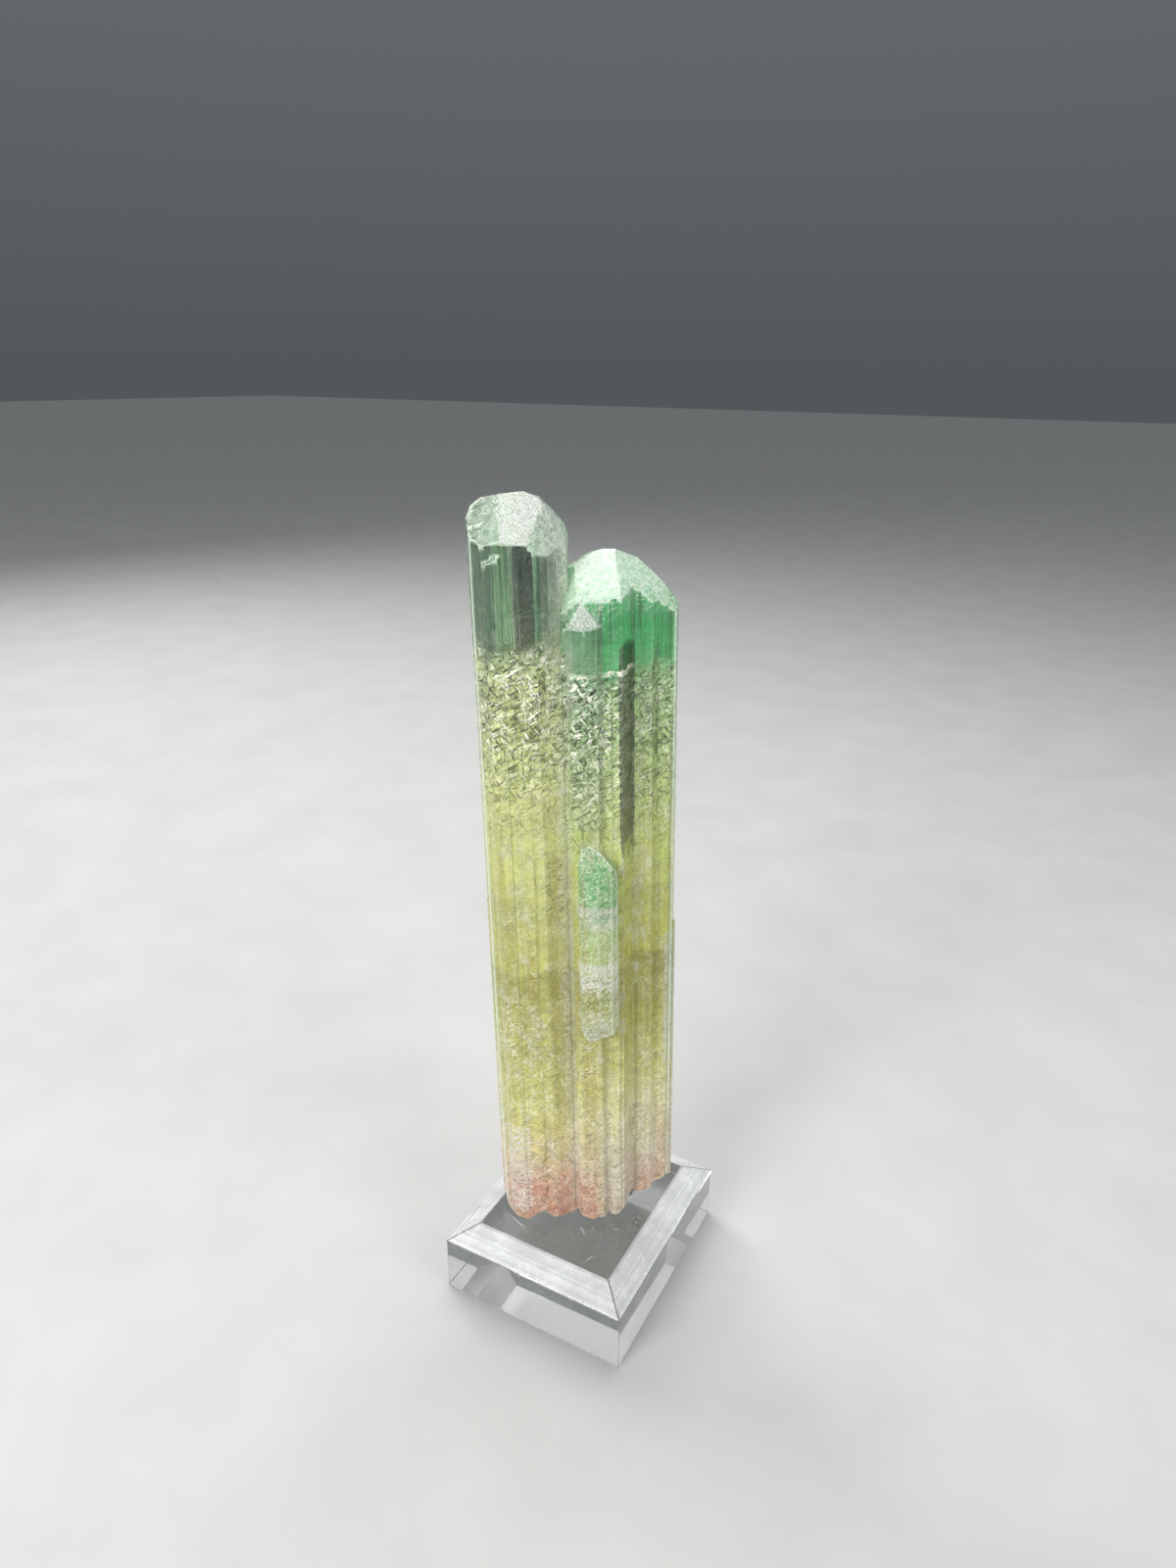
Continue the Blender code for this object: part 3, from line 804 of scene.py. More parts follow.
def crackled(tree, at, toned, lit, shadowed):
    """The bright fractures themselves, densest in the crazed zone and in clouds, with the painted glints of
    the splinters that catch the light. Gives the colour, the crackle and the mottling of the emerald cap."""
    crazed = add(
        tree,
        "ValToRGB",
        {"Fac": at.under},
        stops=(
            (0.0, 0.75),
            (0.12, 0.85),
            (0.3, 0.7),
            (0.4, 0.5),
            (0.58, 0.5),
            (0.64, 0.8),
            (0.76, 0.9),
            (0.785, 0.12),
        ),
    )
    patches = add(tree, "TexNoise", {"Vector": at.grown, "Scale": 0.4, "Detail": 4.0, "Roughness": 0.65})
    patches = add(tree, "MapRange", {"Value": patches, "From Min": 0.42, "From Max": 0.6, "To Min": 0.25})
    patches = add(tree, "Math", {0: patches, 1: at.clouds}, operation="MAXIMUM")
    density = add(tree, "Math", {0: crazed, 1: patches}, operation="MULTIPLY")
    shaded = add(tree, "MapRange", {"Value": shadowed, "To Min": 1.0, "To Max": 0.45})
    density = add(tree, "Math", {0: density, 1: shaded}, operation="MULTIPLY")
    mottled = add(tree, "MapRange", {"Value": at.waves, "From Min": 79.5, "From Max": 83.0})
    mottled = add(tree, "Math", {0: mottled, 1: at.parting}, operation="MULTIPLY")
    small_crazing = add(tree, "Math", {0: at.doubly_pointed, 1: 0.6}, operation="MULTIPLY")
    density = add(tree, "Math", {0: mottled, 1: 0.9, 2: density}, operation="MULTIPLY_ADD", use_clamp=True)
    density = add(tree, "Math", {0: density, 1: small_crazing}, operation="MAXIMUM")
    crackle = add(
        tree,
        "Math",
        {0: at.sparks, 1: 0.7, 2: at.lines},
        operation="MULTIPLY_ADD",
        use_clamp=True,
    )
    crackle = add(tree, "Math", {0: crackle, 1: density}, operation="MULTIPLY", use_clamp=True)
    # Splinters that catch the light add painted glints to the fractures
    lit = add(tree, "Math", {0: lit, 1: shaded}, operation="MULTIPLY")
    crackle = add(tree, "Math", {0: crackle, 1: lit}, operation="MAXIMUM")
    parted = add(tree, "Math", {0: at.torn, 1: at.waves}, operation="ADD")
    parted = add(tree, "Math", {0: parted, 1: 149.6, 2: 0.55}, operation="COMPARE")
    parted = add(tree, "Math", {0: parted, 1: at.kept}, operation="MULTIPLY")
    parted = add(tree, "Math", {0: parted, 1: at.gathered}, operation="MULTIPLY")
    parted = add(tree, "Math", {0: parted, 1: at.parting}, operation="MULTIPLY")
    crackle = add(tree, "Math", {0: crackle, 1: parted}, operation="MAXIMUM")
    toned = add(tree, "Mix", {"Factor": crackle, "A": toned, "B": "#FDFCEA"}, data_type="RGBA")
    return toned, crackle, mottled


def feathered_and_etched(tree, at, toned):
    """Feathery cracks along the seam of the two tall crystals and on the right edge, with painted light that
    whitens the seam's groove lower down, and ladder-like etch marks, a millimetre wide and half as high."""
    # Feathery cracks, and painted light down the seam's groove
    wisps_and_groove_light = add(
        tree,
        "MapRange",
        {"Value": at.slanting, "From Min": 0.42, "From Max": 0.56, "To Min": 0.35},
    )
    wisps_and_groove_light = add(tree, "Math", {0: wisps_and_groove_light, 1: at.feather}, operation="MULTIPLY")
    toned = add(tree, "Mix", {"Factor": wisps_and_groove_light, "A": toned, "B": "#FAFCEE"}, data_type="RGBA")

    front = add(tree, "CombineXYZ", {"X": at.place.outputs["X"], "Y": at.place.outputs["Z"]})
    sway = add(tree, "VectorMath", {0: at.drift.outputs["Color"], 1: (5.0, 5.0, 0.0)}, operation="MULTIPLY")
    front = add(tree, "VectorMath", {0: front, 1: sway}, operation="ADD")
    rungs = add(
        tree,
        "TexBrick",
        {
            "Vector": front,
            "Scale": 1.0,
            "Mortar Size": 0.1,
            "Mortar Smooth": 0.2,
            "Brick Width": 1.0,
            "Row Height": 0.5,
        },
    )
    rungs = add(tree, "Math", {0: rungs.outputs["Fac"], 1: at.kept}, operation="MULTIPLY")
    rungs = add(tree, "Math", {0: rungs, 1: at.etched}, operation="MULTIPLY")
    toned = add(tree, "Mix", {"Factor": rungs, "A": toned, "B": "#FFFFFA"}, data_type="RGBA")
    return toned


def frosted_ends(tree, at, toned):
    """Etched end faces and rubbed edges: a white frost with fine dark pits, and on the edges a white that is
    partly wear and partly a painted highlight. Gives the colour, how white it is, the frost on the end faces
    and its speckle."""
    leafy = add(
        tree,
        "Mapping",
        {"Vector": at.bent, "Rotation": (0.3, 0.8, 0.0), "Scale": (0.45, 0.7, 1.6)},
        vector_type="TEXTURE",
    )
    leafy = add(tree, "TexNoise", {"Vector": leafy, "Scale": 1.0, "Detail": 5.0, "Roughness": 0.7})
    leafy = add(tree, "MapRange", {"Value": leafy, "From Min": 0.38, "From Max": 0.54, "To Max": 1.35})
    speckle = add(tree, "TexNoise", {"Vector": at.grown, "Scale": 6.5, "Detail": 3.0, "Roughness": 0.75})
    pits = add(tree, "MapRange", {"Value": speckle, "From Min": 0.42, "From Max": 0.56, "To Min": 0.35})
    even = add(tree, "MapRange", {"Value": at.frost, "From Min": 0.5, "From Max": 0.85})
    cover = add(tree, "Mix", {"Factor": even, "A": leafy, "B": pits}, data_type="FLOAT")
    frosted = add(tree, "Math", {0: at.frost, 1: cover}, operation="MULTIPLY", use_clamp=True)
    pitted = add(tree, "Math", {0: even, 1: 0.8}, operation="MULTIPLY")
    toned = add(tree, "Mix", {"Factor": pitted, "A": toned, "B": "#8E9C92"}, data_type="RGBA")
    # Rubbed edges: white that is partly wear and partly a painted highlight
    rubbed = add(tree, "MapRange", {"Value": speckle, "From Min": 0.3, "From Max": 0.45})
    rubbed = add(tree, "Math", {0: at.rim, 1: rubbed}, operation="MULTIPLY")
    white = add(tree, "Math", {0: frosted, 1: rubbed}, operation="MAXIMUM")
    frost_colour = add(tree, "Mix", {"Factor": even, "A": "#E4F2E2", "B": "#E0E4DC"}, data_type="RGBA")
    toned = add(tree, "Mix", {"Factor": white, "A": toned, "B": frost_colour}, data_type="RGBA")
    return toned, white, frosted, speckle


def tourmaline_look():
    """Elbaite tourmaline, grown in zones and broken through by healed fractures: green heads, a yellow-
    green body and a pink foot. Its prism faces are striated, its end faces etched to a frost."""
    made, tree, shader = new_material("Zoned elbaite tourmaline", 1.63)
    at = crystal_places(tree)
    fracture_patterns(tree, at)
    toned = zone_colours(tree, at)
    toned = striated(tree, at, toned)
    toned = golden_body(tree, at, toned)
    toned = glassy_heads(tree, at, toned)
    toned = pink_foot(tree, at, toned)
    toned, lit, unlit = splintered(tree, at, toned)
    toned, gaps, shadowed = gaps_and_painted_dark_faces(tree, at, toned, unlit)
    toned, crackle, mottled = crackled(tree, at, toned, lit, shadowed)
    toned = feathered_and_etched(tree, at, toned)
    toned, white, frosted, speckle = frosted_ends(tree, at, toned)

    # How clear it is: glassy heads, a body full of fractures
    clear = add(
        tree,
        "ValToRGB",
        {"Fac": at.share},
        stops=(
            (0.0, 0.38),
            (0.2, 0.42),
            (0.3, 0.5),
            (0.55, 0.55),
            (0.64, 0.65),
            (0.76, 0.75),
            (0.79, 0.95),
            (0.9, 0.95),
        ),
    )
    clear = add(tree, "Math", {0: gaps, 1: 0.5, 2: clear}, operation="MULTIPLY_ADD", use_clamp=True)
    cloudy = add(tree, "MapRange", {"Value": mottled, "To Min": 1.0, "To Max": 0.55})
    clear = add(tree, "Math", {0: clear, 1: cloudy}, operation="MULTIPLY")
    dull = add(tree, "Math", {0: crackle, 1: white}, operation="MAXIMUM")
    dull = add(tree, "MapRange", {"Value": dull, "To Min": 1.0, "To Max": 0.2})
    clear = add(tree, "Math", {0: clear, 1: dull}, operation="MULTIPLY")

    rough = add(tree, "MapRange", {"Value": white, "To Min": 0.05, "To Max": 0.4})
    bump = add(tree, "Bump", {"Strength": 0.6, "Distance": 0.05 * MM, "Height": at.striae})
    bump = add(tree, "Bump", {"Strength": 0.5, "Distance": 0.05 * MM, "Height": at.lines, "Normal": bump})
    bump = add(
        tree,
        "Bump",
        {"Strength": frosted, "Distance": 0.08 * MM, "Height": speckle, "Normal": bump},
    )
    finish_shader(
        tree,
        shader,
        Base_Color=toned,
        Roughness=rough,
        Transmission_Weight=clear,
        Normal=bump,
    )
    return made


def veil_look():
    """A fracture inside the crystal, partly healed: a film of gas that mirrors the light as white or
    cream."""
    made, tree, shader = new_material("Healed fracture film", 1.5)
    spot = add(tree, "TexCoord").outputs["Object"]
    film = add(tree, "TexNoise", {"Vector": spot, "Scale": 900.0, "Detail": 3.0, "Roughness": 0.7})
    tint = add(
        tree,
        "ValToRGB",
        {"Fac": film},
        stops=((0.35, "#D5DBA0"), (0.5, "#F6F5DF"), (0.6, "#FFFFFF")),
    )
    rough = add(tree, "MapRange", {"Value": film, "To Min": 0.2, "To Max": 0.45})
    bump = add(tree, "Bump", {"Strength": 0.5, "Distance": 0.05 * MM, "Height": film})
    finish_shader(tree, shader, Base_Color=tint, Roughness=rough, Metallic=0.5, Normal=bump)
    return made


def acrylic_look():
    """Clear cast acrylic, sawn, milled and polished: glassy faces, wide bevels left satin by the cutter,
    whose marks run the length of each bevel, fine scratches and dust."""
    made, tree, shader = new_material("Clear cast acrylic", 1.49)
    spot = add(tree, "TexCoord").outputs["Object"]
    satin = add(tree, "Attribute", attribute_name="satin").outputs["Fac"]
    level = add(tree, "SeparateXYZ", {"Vector": spot}).outputs["Z"]
    marks = add(tree, "TexNoise", {"W": level, "Scale": 3500.0, "Detail": 3.0}, noise_dimensions="1D")
    smears = add(tree, "TexNoise", {"Vector": spot, "Scale": 220.0, "Detail": 4.0, "Roughness": 0.65})
    marks = add(tree, "Math", {0: marks, 1: smears}, operation="ADD")
    marks = add(tree, "MapRange", {"Value": marks, "From Min": 0.55, "From Max": 1.3, "To Min": 0.35})
    haze = add(tree, "Math", {0: marks, 1: satin}, operation="MULTIPLY")
    rough = add(tree, "MapRange", {"Value": smears, "To Min": 0.015, "To Max": 0.06})
    rough = add(tree, "Math", {0: haze, 1: 0.3, 2: rough}, operation="MULTIPLY_ADD")
    clear = add(tree, "MapRange", {"Value": haze, "To Min": 1.0, "To Max": 0.3})
    dust = add(tree, "TexNoise", {"Vector": spot, "Scale": 640.0, "Detail": 5.0, "Roughness": 0.7})
    dust = add(tree, "MapRange", {"Value": dust, "From Min": 0.72, "From Max": 0.75, "To Max": 0.8})
    clear = add(tree, "Math", {0: clear, 1: dust}, operation="SUBTRACT", use_clamp=True)
    for x, y, turn, half in SCRATCHES:
        over = add(
            tree,
            "Mapping",
            {
                "Vector": spot,
                "Location": (x * MM, y * MM, BLOCK_HEIGHT * MM),
                "Rotation": (0.0, 0.0, math.radians(turn)),
                "Scale": (half * MM, SCRATCH_WIDTH * MM, MM),
            },
            vector_type="TEXTURE",
        )
        scratch = add(tree, "VectorMath", {0: over}, operation="LENGTH").outputs["Value"]
        scratch = add(tree, "MapRange", {"Value": scratch, "From Min": 1.0, "From Max": 0.6, "To Max": 0.9})
        clear = add(tree, "Math", {0: clear, 1: scratch}, operation="SUBTRACT", use_clamp=True)
    bump = add(tree, "Bump", {"Strength": 0.3, "Distance": 0.02 * MM, "Height": haze})
    finish_shader(
        tree,
        shader,
        Base_Color=linear("#F8FAFA"),
        Roughness=rough,
        Transmission_Weight=clear,
        Normal=bump,
    )
    return made


def adhesive_look():
    """Clear hot-melt adhesive, pressed flat: cloudy, soft-edged, with small bubbles."""
    made, tree, shader = new_material("Clear adhesive", 1.46)
    spot = add(tree, "TexCoord").outputs["Object"]
    cloud = add(tree, "TexNoise", {"Vector": spot, "Scale": 600.0, "Detail": 3.0})
    bubbles = add(tree, "TexVoronoi", {"Vector": spot, "Scale": 1100.0})
    tint = add(tree, "ValToRGB", {"Fac": cloud}, stops=((0.3, "#E3E4DA"), (0.7, "#F5F6F0")))
    rough = add(tree, "MapRange", {"Value": cloud, "To Min": 0.2, "To Max": 0.5})
    clear = add(tree, "MapRange", {"Value": cloud, "To Min": 0.9, "To Max": 0.6})
    bump = add(tree, "Bump", {"Strength": 0.2, "Distance": 0.1 * MM, "Height": bubbles})
    finish_shader(tree, shader, Base_Color=tint, Roughness=rough, Transmission_Weight=clear, Normal=bump)
    return made


def floor_look():
    """Matt painted board: pale, with the faint mottling of a roller."""
    made, tree, shader = new_material("Pale matt board", 1.5)
    spot = add(tree, "TexCoord").outputs["Object"]
    mottle = add(tree, "TexNoise", {"Vector": spot, "Scale": 55.0, "Detail": 4.0})
    tint = add(tree, "ValToRGB", {"Fac": mottle}, stops=((0.35, "#B2B2B0"), (0.65, "#B7B7B5")))
    finish_shader(tree, shader, Base_Color=tint, Roughness=0.75)
    return made


def new_piece(name, bm, look, replaced=(), smooth=False):
    """A piece of the object from a bmesh in millimetres in the row frame."""
    bmesh.ops.transform(bm, matrix=Matrix.Scale(MM, 4), verts=bm.verts)
    for face in bm.faces:
        face.smooth = smooth
    mesh = bpy.data.meshes.new(name)
    bm.to_mesh(mesh)
    bm.free()
    mesh.materials.append(look)
    piece = bpy.data.objects.new(name, mesh)
    bpy.context.scene.collection.objects.link(piece)
    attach(piece, "root")
    if replaced:
        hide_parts(*replaced)
    return piece


def working_mesh(node_name):
    """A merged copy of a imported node's mesh in millimetres, its flat faces made whole again."""
    bm = bmesh.new()
    bm.from_mesh(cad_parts[node_name].data)
    bmesh.ops.transform(bm, matrix=Matrix.Scale(1 / MM, 4), verts=bm.verts)
    bmesh.ops.remove_doubles(bm, verts=bm.verts, dist=MERGED_WITHIN)
    bmesh.ops.dissolve_limit(bm, angle_limit=WHOLE_WITHIN, verts=bm.verts, edges=bm.edges)
    return bm


def slice_flat(bm, axis, step):
    """Scores the faces with evenly spaced planes across an axis."""
    normal = Vector((0.0, 0.0, 0.0))
    normal[axis] = 1.0
    start, stop = CRYSTAL_REACH[axis]
    for count in range(int((stop - start) / step)):
        through = normal * (start + step * (count + 0.5))
        geometry = bm.verts[:] + bm.edges[:] + bm.faces[:]
        bmesh.ops.bisect_plane(bm, geom=geometry, dist=TOUCHING, plane_co=through, plane_no=normal)


def frost_of(normal):
    """How frosted an end face is, from the way it faces in the crystal's frame."""
    best = PLAIN_END_FROST
    nearest = math.cos(SAME_FACE_WITHIN)
    for facing, tilt, amount in FROSTED_FACES:
        turn = math.radians(facing)
        lean = math.radians(tilt)
        face = Vector((math.sin(lean) * math.cos(turn), math.sin(lean) * math.sin(turn), math.cos(lean)))
        if normal.dot(face) > nearest:
            nearest = normal.dot(face)
            best = amount
    return best


def away_from_side(spot, start, end):
    """How far a spot is, seen from above, from the side between two corners."""
    side = Vector(end) - Vector(start)
    away = spot.xy - Vector(start)
    share = min(max(away.dot(side) / side.length_squared, 0.0), 1.0)
    return (away - side * share).length


def is_side_crystal(spot):
    """True on the side crystal that grows on the front of the right one."""
    left, right = SIDE_CRYSTAL_X
    return left < spot.x < right and spot.y < SIDE_CRYSTAL_FRONT and spot.z > SIDE_CRYSTAL_FOOT


def is_blade_end(spot):
    """True on the small end face of the growth blade, under the front frost of the left head."""
    return spot.x < BLADE_RIGHT and spot.y < BLADE_FRONT and spot.z < BLADE_TOP


def is_doubly_pointed(spot):
    """True on the small crystal that is pointed at both ends, between the slopes of its two points. Each
    slope is a height at a place across the front, and its rise in mm for each mm to the right."""
    if spot.y > -5.66 and not (spot.x > 3.3 and spot.y < -4.6):
        return False
    highest = min(height + rise * (spot.x - x) for x, height, rise in UPPER_POINT)
    lowest = max(height + rise * (spot.x - x) for x, height, rise in LOWER_POINT)
    left, right = SMALL_CRYSTAL_X
    return left < spot.x < right and lowest - POINT_MARGIN < spot.z < highest + POINT_MARGIN


def feather_and_groove_light_of(spot):
    """How feathery with cracks the surface is: along the seam of the two tall crystals, most of all beside the
    heads, and on a stretch of the right edge. Lower down the seam the white is painted light that lightens its
    groove."""
    if -3.2 < spot.x < 1.0 and -5.4 < spot.y < -1.0 and spot.z > FEATHERED_HEAD:
        return (1.0 - min(abs(spot.x + 1.1) / 2.1, 1.0)) * min((spot.z - FEATHERED_HEAD) / 4.0, 1.0)
    # Lower down the seam's groove: painted light, where shade falls
    if -2.4 < spot.x < 0.1 and -5.0 < spot.y < -1.0:
        return 0.6 * (1.0 - min(abs(spot.x + 1.15) / 1.25, 1.0))
    if spot.x > 10.2 and spot.y < 3.0 and 31.0 < spot.z < 50.0:
        return 0.7
    return 0.0


def is_etched(spot):
    """True where the faces carry ladder-like etch marks: low on the left front and in a band round the
    small crystal."""
    low_left = -10.3 < spot.x < -6.6 and spot.y < -3.6 and 12.0 < spot.z < 25.5
    band = is_doubly_pointed(spot) and 46.0 < spot.z < 49.5
    return low_left or band


def seam_fill(spot):
    """How far forward the surface of the seam between the two tall crystals lies, grown over as it is."""
    if not (SEAM_LEFT[0] < spot.x < SEAM_RIGHT[0] and spot.y < SEAM_BACK):
        return 0.0
    share = (spot.x - SEAM_LEFT[0]) / (SEAM_RIGHT[0] - SEAM_LEFT[0])
    front = SEAM_LEFT[1] + (SEAM_RIGHT[1] - SEAM_LEFT[1]) * share
    fade = min(max((SEAM_TOP - spot.z) / SEAM_FADE, 0.0), 1.0)
    return max(spot.y - front, 0.0) * SEAM_GROWN_OVER * fade


def mark_corners(bm):
    """Stores on each corner what the material has to know of its place: how frosted it is, how rubbed, with
    the painted highlight of its edges, how dark its painted shade is, and how feathery, with the painted light
    of the seam's groove; whether it is etched, and which of the small crystals it is on. Gives the layer of
    the rubbed and painted-highlit edges."""
    frost = bm.verts.layers.float.new("frost")
    rim = bm.verts.layers.float.new("rim")
    deep = bm.verts.layers.float.new("deep")
    doubly_pointed = bm.verts.layers.float.new("doubly_pointed")
    front_side = bm.verts.layers.float.new("front_side")
    etched = bm.verts.layers.float.new("etched")
    feather = bm.verts.layers.float.new("feather")
    for vert in bm.verts:
        vert[doubly_pointed] = 1.0 if is_doubly_pointed(vert.co) else 0.0
        ends = [face.normal for face in vert.link_faces if face.normal.z > END_FACE_RISE]
        on_end = vert.co.z > HEAD_HEIGHT and bool(ends)
        if on_end:
            most = max(frost_of(normal) for normal in ends)
            vert[frost] = most * (BLADE_END_FROST if is_blade_end(vert.co) else 1.0)
        # How sharp an edge is sets its rubbing, and with it the painted highlight of its white
        sharpest = max((edge.calc_face_angle(0.0) for edge in vert.link_edges), default=0.0)
        strength = RUBBED_AND_HIGHLIT_ON_RIBS
        if on_end:
            strength = RUBBED_AND_HIGHLIT_ON_ENDS
        elif vert[doubly_pointed] > 0.0:
            strength = RUBBED_AND_HIGHLIT_ON_SMALL
        vert[rim] = min(max(sharpest - RUBBED_AND_HIGHLIT_FROM, 0.0) * strength, 1.0)
        # Narrow faces get painted shade, nearly black, for the dark surroundings seen in them
        for start, end, amount in PAINTED_DARK_FACES:
            if away_from_side(vert.co, start, end) < NEAR:
                rising = min(max((vert.co.z - PAINTED_DARK_FROM) / PAINTED_DARK_OVER, PAINTED_DARK_LEAST), 1.0)
                vert[deep] = amount * rising * min(max((PAINTED_DARK_TOP - vert.co.z) / PAINTED_DARK_FADE, 0.0), 1.0)
        for spot in OUTER_ARRISES:
            if (vert.co.xy - Vector(spot)).length < NEAR:
                vert[rim] = max(vert[rim], OUTER_ARRIS_RUB_AND_HIGHLIGHT)
        vert[front_side] = 1.0 if is_side_crystal(vert.co) else 0.0
        vert[etched] = 1.0 if is_etched(vert.co) else 0.0
        vert[feather] = feather_and_groove_light_of(vert.co)
    return rim


def scaled(spot, per_mm):
    """A spot in a pattern that repeats that often in a millimetre along x, y and z."""
    return Vector((spot.x * per_mm[0], spot.y * per_mm[1], spot.z * per_mm[2]))


def wear(bm, rim):
    """Moves each corner by the striae, the growth hillocks, the etch pits and the rubbing of the edges,
    and fills the seam."""
    moves = []
    for vert in bm.verts:
        spot = vert.co
        striae = noise.noise(scaled(spot, STRIAE_PER_MM)) * STRIAE_HEIGHT
        hillocks = noise.noise(scaled(spot, HILLOCKS_PER_MM) + HILLOCKS_SHIFT) * HILLOCK_HEIGHT
        pit = max(noise.noise(spot * PITS_PER_MM) - PITS_OVER, 0.0) * -PIT_DEPTH
        forward = Vector((0.0, -seam_fill(spot), 0.0))
        moves.append(vert.normal * (striae + hillocks + pit - vert[rim] * RUBBED_OFF) + forward)
    for vert, move in zip(bm.verts, moves):
        vert.co += move


def tourmaline():
    """The crystal group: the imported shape, scored fine and worn, with striae, growth terraces and etch
    pits."""
    bm = working_mesh("tourmaline_crystal")
    bmesh.ops.transform(bm, matrix=STANDING.inverted(), verts=bm.verts)
    for axis, step in ((2, SLICE_HEIGHT), (0, SLICE_WIDTH), (1, SLICE_WIDTH)):
        slice_flat(bm, axis, step)
    bm.normal_update()
    rim = mark_corners(bm)
    wear(bm, rim)
    bmesh.ops.triangulate(bm, faces=[face for face in bm.faces if len(face.verts) > 4])
    for edge in bm.edges:
        edge.smooth = edge.calc_face_angle(0.0) < SMOOTH_UNDER
    bmesh.ops.transform(bm, matrix=STANDING, verts=bm.verts)
    return new_piece(
        "tourmaline",
        bm,
        tourmaline_look(),
        ("tourmaline_crystal",),
        smooth=True,
    )


def is_wide_bevel(face):
    """True for the four wide bevels of the block, not for its flat faces or its broken edges."""
    lowest, highest = BEVEL_RISE
    return lowest < face.normal.z < highest and face.calc_area() > BEVEL_LEAST_AREA


def acrylic_block():
    """The clear block with its four wide bevels and its sharp edges just broken."""
    bm = bmesh.new()
    bmesh.ops.create_cube(bm, size=1.0)
    bmesh.ops.scale(bm, verts=bm.verts, vec=(BLOCK_SIDE_X, BLOCK_SIDE_Y, BLOCK_HEIGHT))
    bmesh.ops.translate(bm, verts=bm.verts, vec=(0.0, 0.0, BLOCK_HEIGHT / 2))
    top = [face for face in bm.faces if face.normal.z > 0.5]
    bmesh.ops.inset_region(bm, faces=top, thickness=BLOCK_BEVEL_WIDTH, use_even_offset=True)
    rim = [
        vert
        for vert in bm.verts
        if abs(vert.co.z - BLOCK_HEIGHT) < TOUCHING and abs(vert.co.x) > BLOCK_SIDE_X / 2 - 0.01
    ]
    bmesh.ops.translate(bm, verts=rim, vec=(0.0, 0.0, -BLOCK_BEVEL_DROP))
    bmesh.ops.bevel(
        bm,
        geom=bm.edges[:],
        offset=BLOCK_EDGE_BREAK,
        segments=2,
        profile=0.5,
        affect="EDGES",
        material=-1,
    )
    bm.normal_update()
    satin = bm.faces.layers.float.new("satin")
    for face in bm.faces:
        face[satin] = 1.0 if is_wide_bevel(face) else 0.0
    return new_piece("acrylic_block", bm, acrylic_look(), ("display_block",))


def draw_up(bm, faces, rise):
    """Draws faces up by a height. Gives their new corners."""
    grown = bmesh.ops.extrude_face_region(bm, geom=faces)["geom"]
    raised = [item for item in grown if isinstance(item, bmesh.types.BMVert)]
    bmesh.ops.translate(bm, verts=raised, vec=(0.0, 0.0, rise))
    return raised


def adhesive():
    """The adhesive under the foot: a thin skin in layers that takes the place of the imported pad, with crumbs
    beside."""
    rng = random.Random(19)
    bm = bmesh.new()
    bmesh.ops.create_circle(bm, segments=40, radius=1.0, cap_ends=True)
    bmesh.ops.scale(bm, verts=bm.verts, vec=(*SKIN_HALF_SIZE, 1.0))
    for vert in bm.verts:
        vert.co *= rng.uniform(0.93, 1.04)
    for grow, rise in SKIN_LAYERS:
        raised = draw_up(bm, [face for face in bm.faces if face.normal.z >= 0.9], rise)
        bmesh.ops.scale(bm, verts=raised, vec=(grow, grow, 1.0))
        bm.normal_update()
    bmesh.ops.translate(bm, verts=bm.verts, vec=(*SKIN_MIDDLE, BLOCK_HEIGHT + ADHESIVE_GAP))
    bmesh.ops.transform(bm, matrix=Matrix.Rotation(CRYSTAL_TURN, 4, "Z"), verts=bm.verts)
    for x, y, radius in CRUMBS:
        crumb = bmesh.ops.create_circle(bm, segments=7, radius=radius, cap_ends=True)["verts"]
        disc = list({face for vert in crumb for face in vert.link_faces})
        raised = draw_up(bm, disc, radius * CRUMB_FLATNESS)
        for vert in crumb + raised:
            vert.co.xy *= rng.uniform(0.55, 1.25)
        bmesh.ops.translate(bm, verts=crumb + raised, vec=(x, y, BLOCK_HEIGHT))
    bmesh.ops.recalc_face_normals(bm, faces=bm.faces)
    return new_piece("adhesive", bm, adhesive_look(), ("adhesive_pad",), smooth=True)


def inside(x, y, outline, margin):
    """True if a spot lies inside an outline by that margin."""
    within = False
    for index, (x0, y0) in enumerate(outline):
        x1, y1 = outline[(index + 1) % len(outline)]
        if (y0 > y) != (y1 > y) and x < x0 + (x1 - x0) * (y - y0) / (y1 - y0):
            within = not within
        side = Vector((x1 - x0, y1 - y0))
        away = Vector((x - x0, y - y0))
        share = min(max(away.dot(side) / side.length_squared, 0.0), 1.0)
        if (away - side * share).length < margin:
            return False
    return within


def film_tilt(rng):
    """The tilt of a fracture in degrees: half of them lie nearly level, most of the others stand, some
    slant."""
    kind = rng.random()
    if kind < 0.5:
        return rng.gauss(0.0, 14.0)
    if kind < 0.8:
        return rng.gauss(90.0, 12.0)
    return 45.0


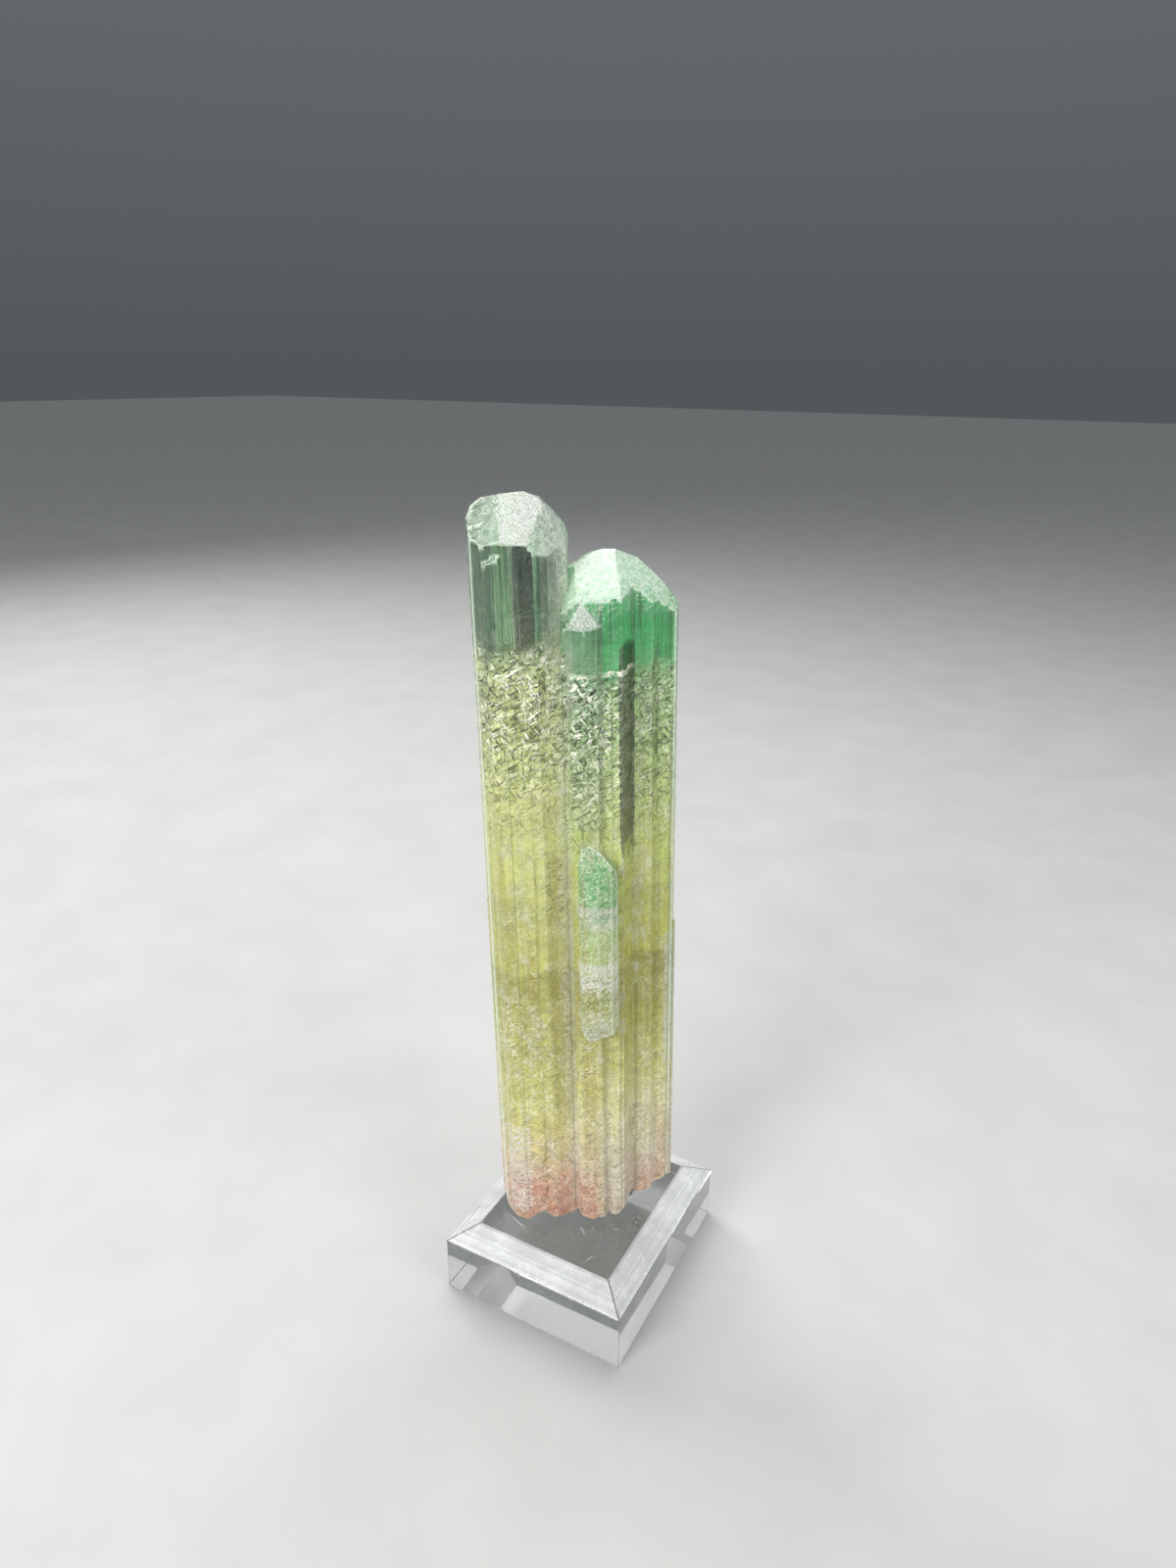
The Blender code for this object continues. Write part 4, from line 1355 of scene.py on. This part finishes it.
def healed_fractures():
    """The fractures inside the two tall crystals: thin curved films, level, steep or slanting."""
    rng = random.Random(101)
    bm = bmesh.new()
    for outline, lowest, highest in ((LEFT_OUTLINE, 12.0, 86.5), (RIGHT_OUTLINE, 12.0, 83.5)):
        made = 0
        while made < FILMS_IN_EACH:
            middle = Vector(
                (rng.uniform(-11.0, 12.0), rng.uniform(-6.0, 8.0), rng.uniform(lowest, highest)),
            )
            length = rng.uniform(0.45, 1.0) ** 2 * FILM_HALF_LENGTH
            if not inside(middle.x, middle.y, outline, length + FILM_MARGIN):
                continue
            flat = bmesh.ops.create_grid(bm, x_segments=2, y_segments=2, size=length)["verts"]
            stretch = rng.uniform(0.35, 0.9)
            for vert in flat:
                round_off = 1.0 - 0.25 * abs(vert.co.x * vert.co.y) / length**2
                vert.co = vert.co * round_off
                vert.co.y *= stretch
                vert.co.z = noise.noise(Vector((vert.co.x, vert.co.y, made * 1.7))) * length * FILM_WARP
            tilt = math.radians(film_tilt(rng))
            turn = rng.uniform(0.0, math.tau)
            pose = Matrix.Translation(middle) @ Matrix.Rotation(turn, 4, "Z") @ Matrix.Rotation(tilt, 4, "X")
            bmesh.ops.transform(bm, matrix=pose, verts=flat)
            made += 1
    bmesh.ops.recalc_face_normals(bm, faces=bm.faces)
    bmesh.ops.solidify(bm, geom=bm.faces[:], thickness=FILM_THICKNESS)
    bmesh.ops.recalc_face_normals(bm, faces=bm.faces)
    bmesh.ops.transform(bm, matrix=STANDING, verts=bm.verts)
    return new_piece("healed_fractures", bm, veil_look(), smooth=True)


def pale_floor():
    """A plain pale floor, just under the block."""
    bm = bmesh.new()
    bmesh.ops.create_grid(bm, x_segments=1, y_segments=1, size=FLOOR_HALF_SIZE * MM)
    bmesh.ops.translate(bm, verts=bm.verts, vec=(0.0, 0.0, -FLOOR_DROP * MM))
    mesh = bpy.data.meshes.new("floor")
    bm.to_mesh(mesh)
    bm.free()
    mesh.materials.append(floor_look())
    floor = bpy.data.objects.new("floor", mesh)
    bpy.context.scene.collection.objects.link(floor)


def soft_light():
    """A grey room, paler towards its ceiling, and softboxes in front, above, behind and to the right."""
    world = bpy.data.worlds.new("studio")
    world.use_nodes = True
    tree = world.node_tree
    upward = add(tree, "SeparateXYZ", {"Vector": add(tree, "TexCoord").outputs["Generated"]}).outputs["Z"]
    sky = add(
        tree,
        "ValToRGB",
        {"Fac": upward},
        stops=((0.0, "#54575A"), (0.3, "#666A6C"), (0.9, "#A8ABAD")),
    )
    tree.links.new(sky.outputs["Color"], tree.nodes["Background"].inputs["Color"])
    bpy.context.scene.world = world

    aim = Vector((0.0, 0.0, LIGHT_AIM_HEIGHT)) * MM
    for name, spot, size, power in SOFTBOXES:
        light = bpy.data.lights.new(name, "AREA")
        light.shape = "SQUARE"
        light.size = size * MM
        light.energy = power
        lamp = bpy.data.objects.new(name, light)
        lamp.location = Vector(spot) * MM
        lamp.rotation_euler = (aim - lamp.location).to_track_quat("-Z", "Y").to_euler()
        bpy.context.scene.collection.objects.link(lamp)


def photo_camera():
    """The camera of the photo, and light paths that are long enough for clear crystal and acrylic."""
    lens = bpy.data.cameras.new("camera")
    lens.lens = CAMERA_LENS
    lens.sensor_width = CAMERA_SENSOR
    lens.clip_start = 0.001
    camera = bpy.data.objects.new("camera", lens)
    roll = Matrix.Rotation(math.radians(CAMERA_ROLL), 4, "Z")
    tilt = Matrix.Rotation(math.radians(90.0 - CAMERA_DOWN), 4, "X")
    turn = Matrix.Rotation(math.radians(CAMERA_TURN), 4, "Z")
    camera.matrix_world = Matrix.Translation(Vector(CAMERA_SPOT) * MM) @ turn @ tilt @ roll
    bpy.context.scene.collection.objects.link(camera)
    bpy.context.scene.camera = camera
    paths = bpy.context.scene.cycles
    paths.max_bounces = 24
    paths.transmission_bounces = 24
    paths.glossy_bounces = 12
    paths.diffuse_bounces = 6
    bpy.context.scene.view_settings.view_transform = "Standard"


tourmaline()
healed_fractures()
acrylic_block()
adhesive()
pale_floor()
soft_light()
photo_camera()
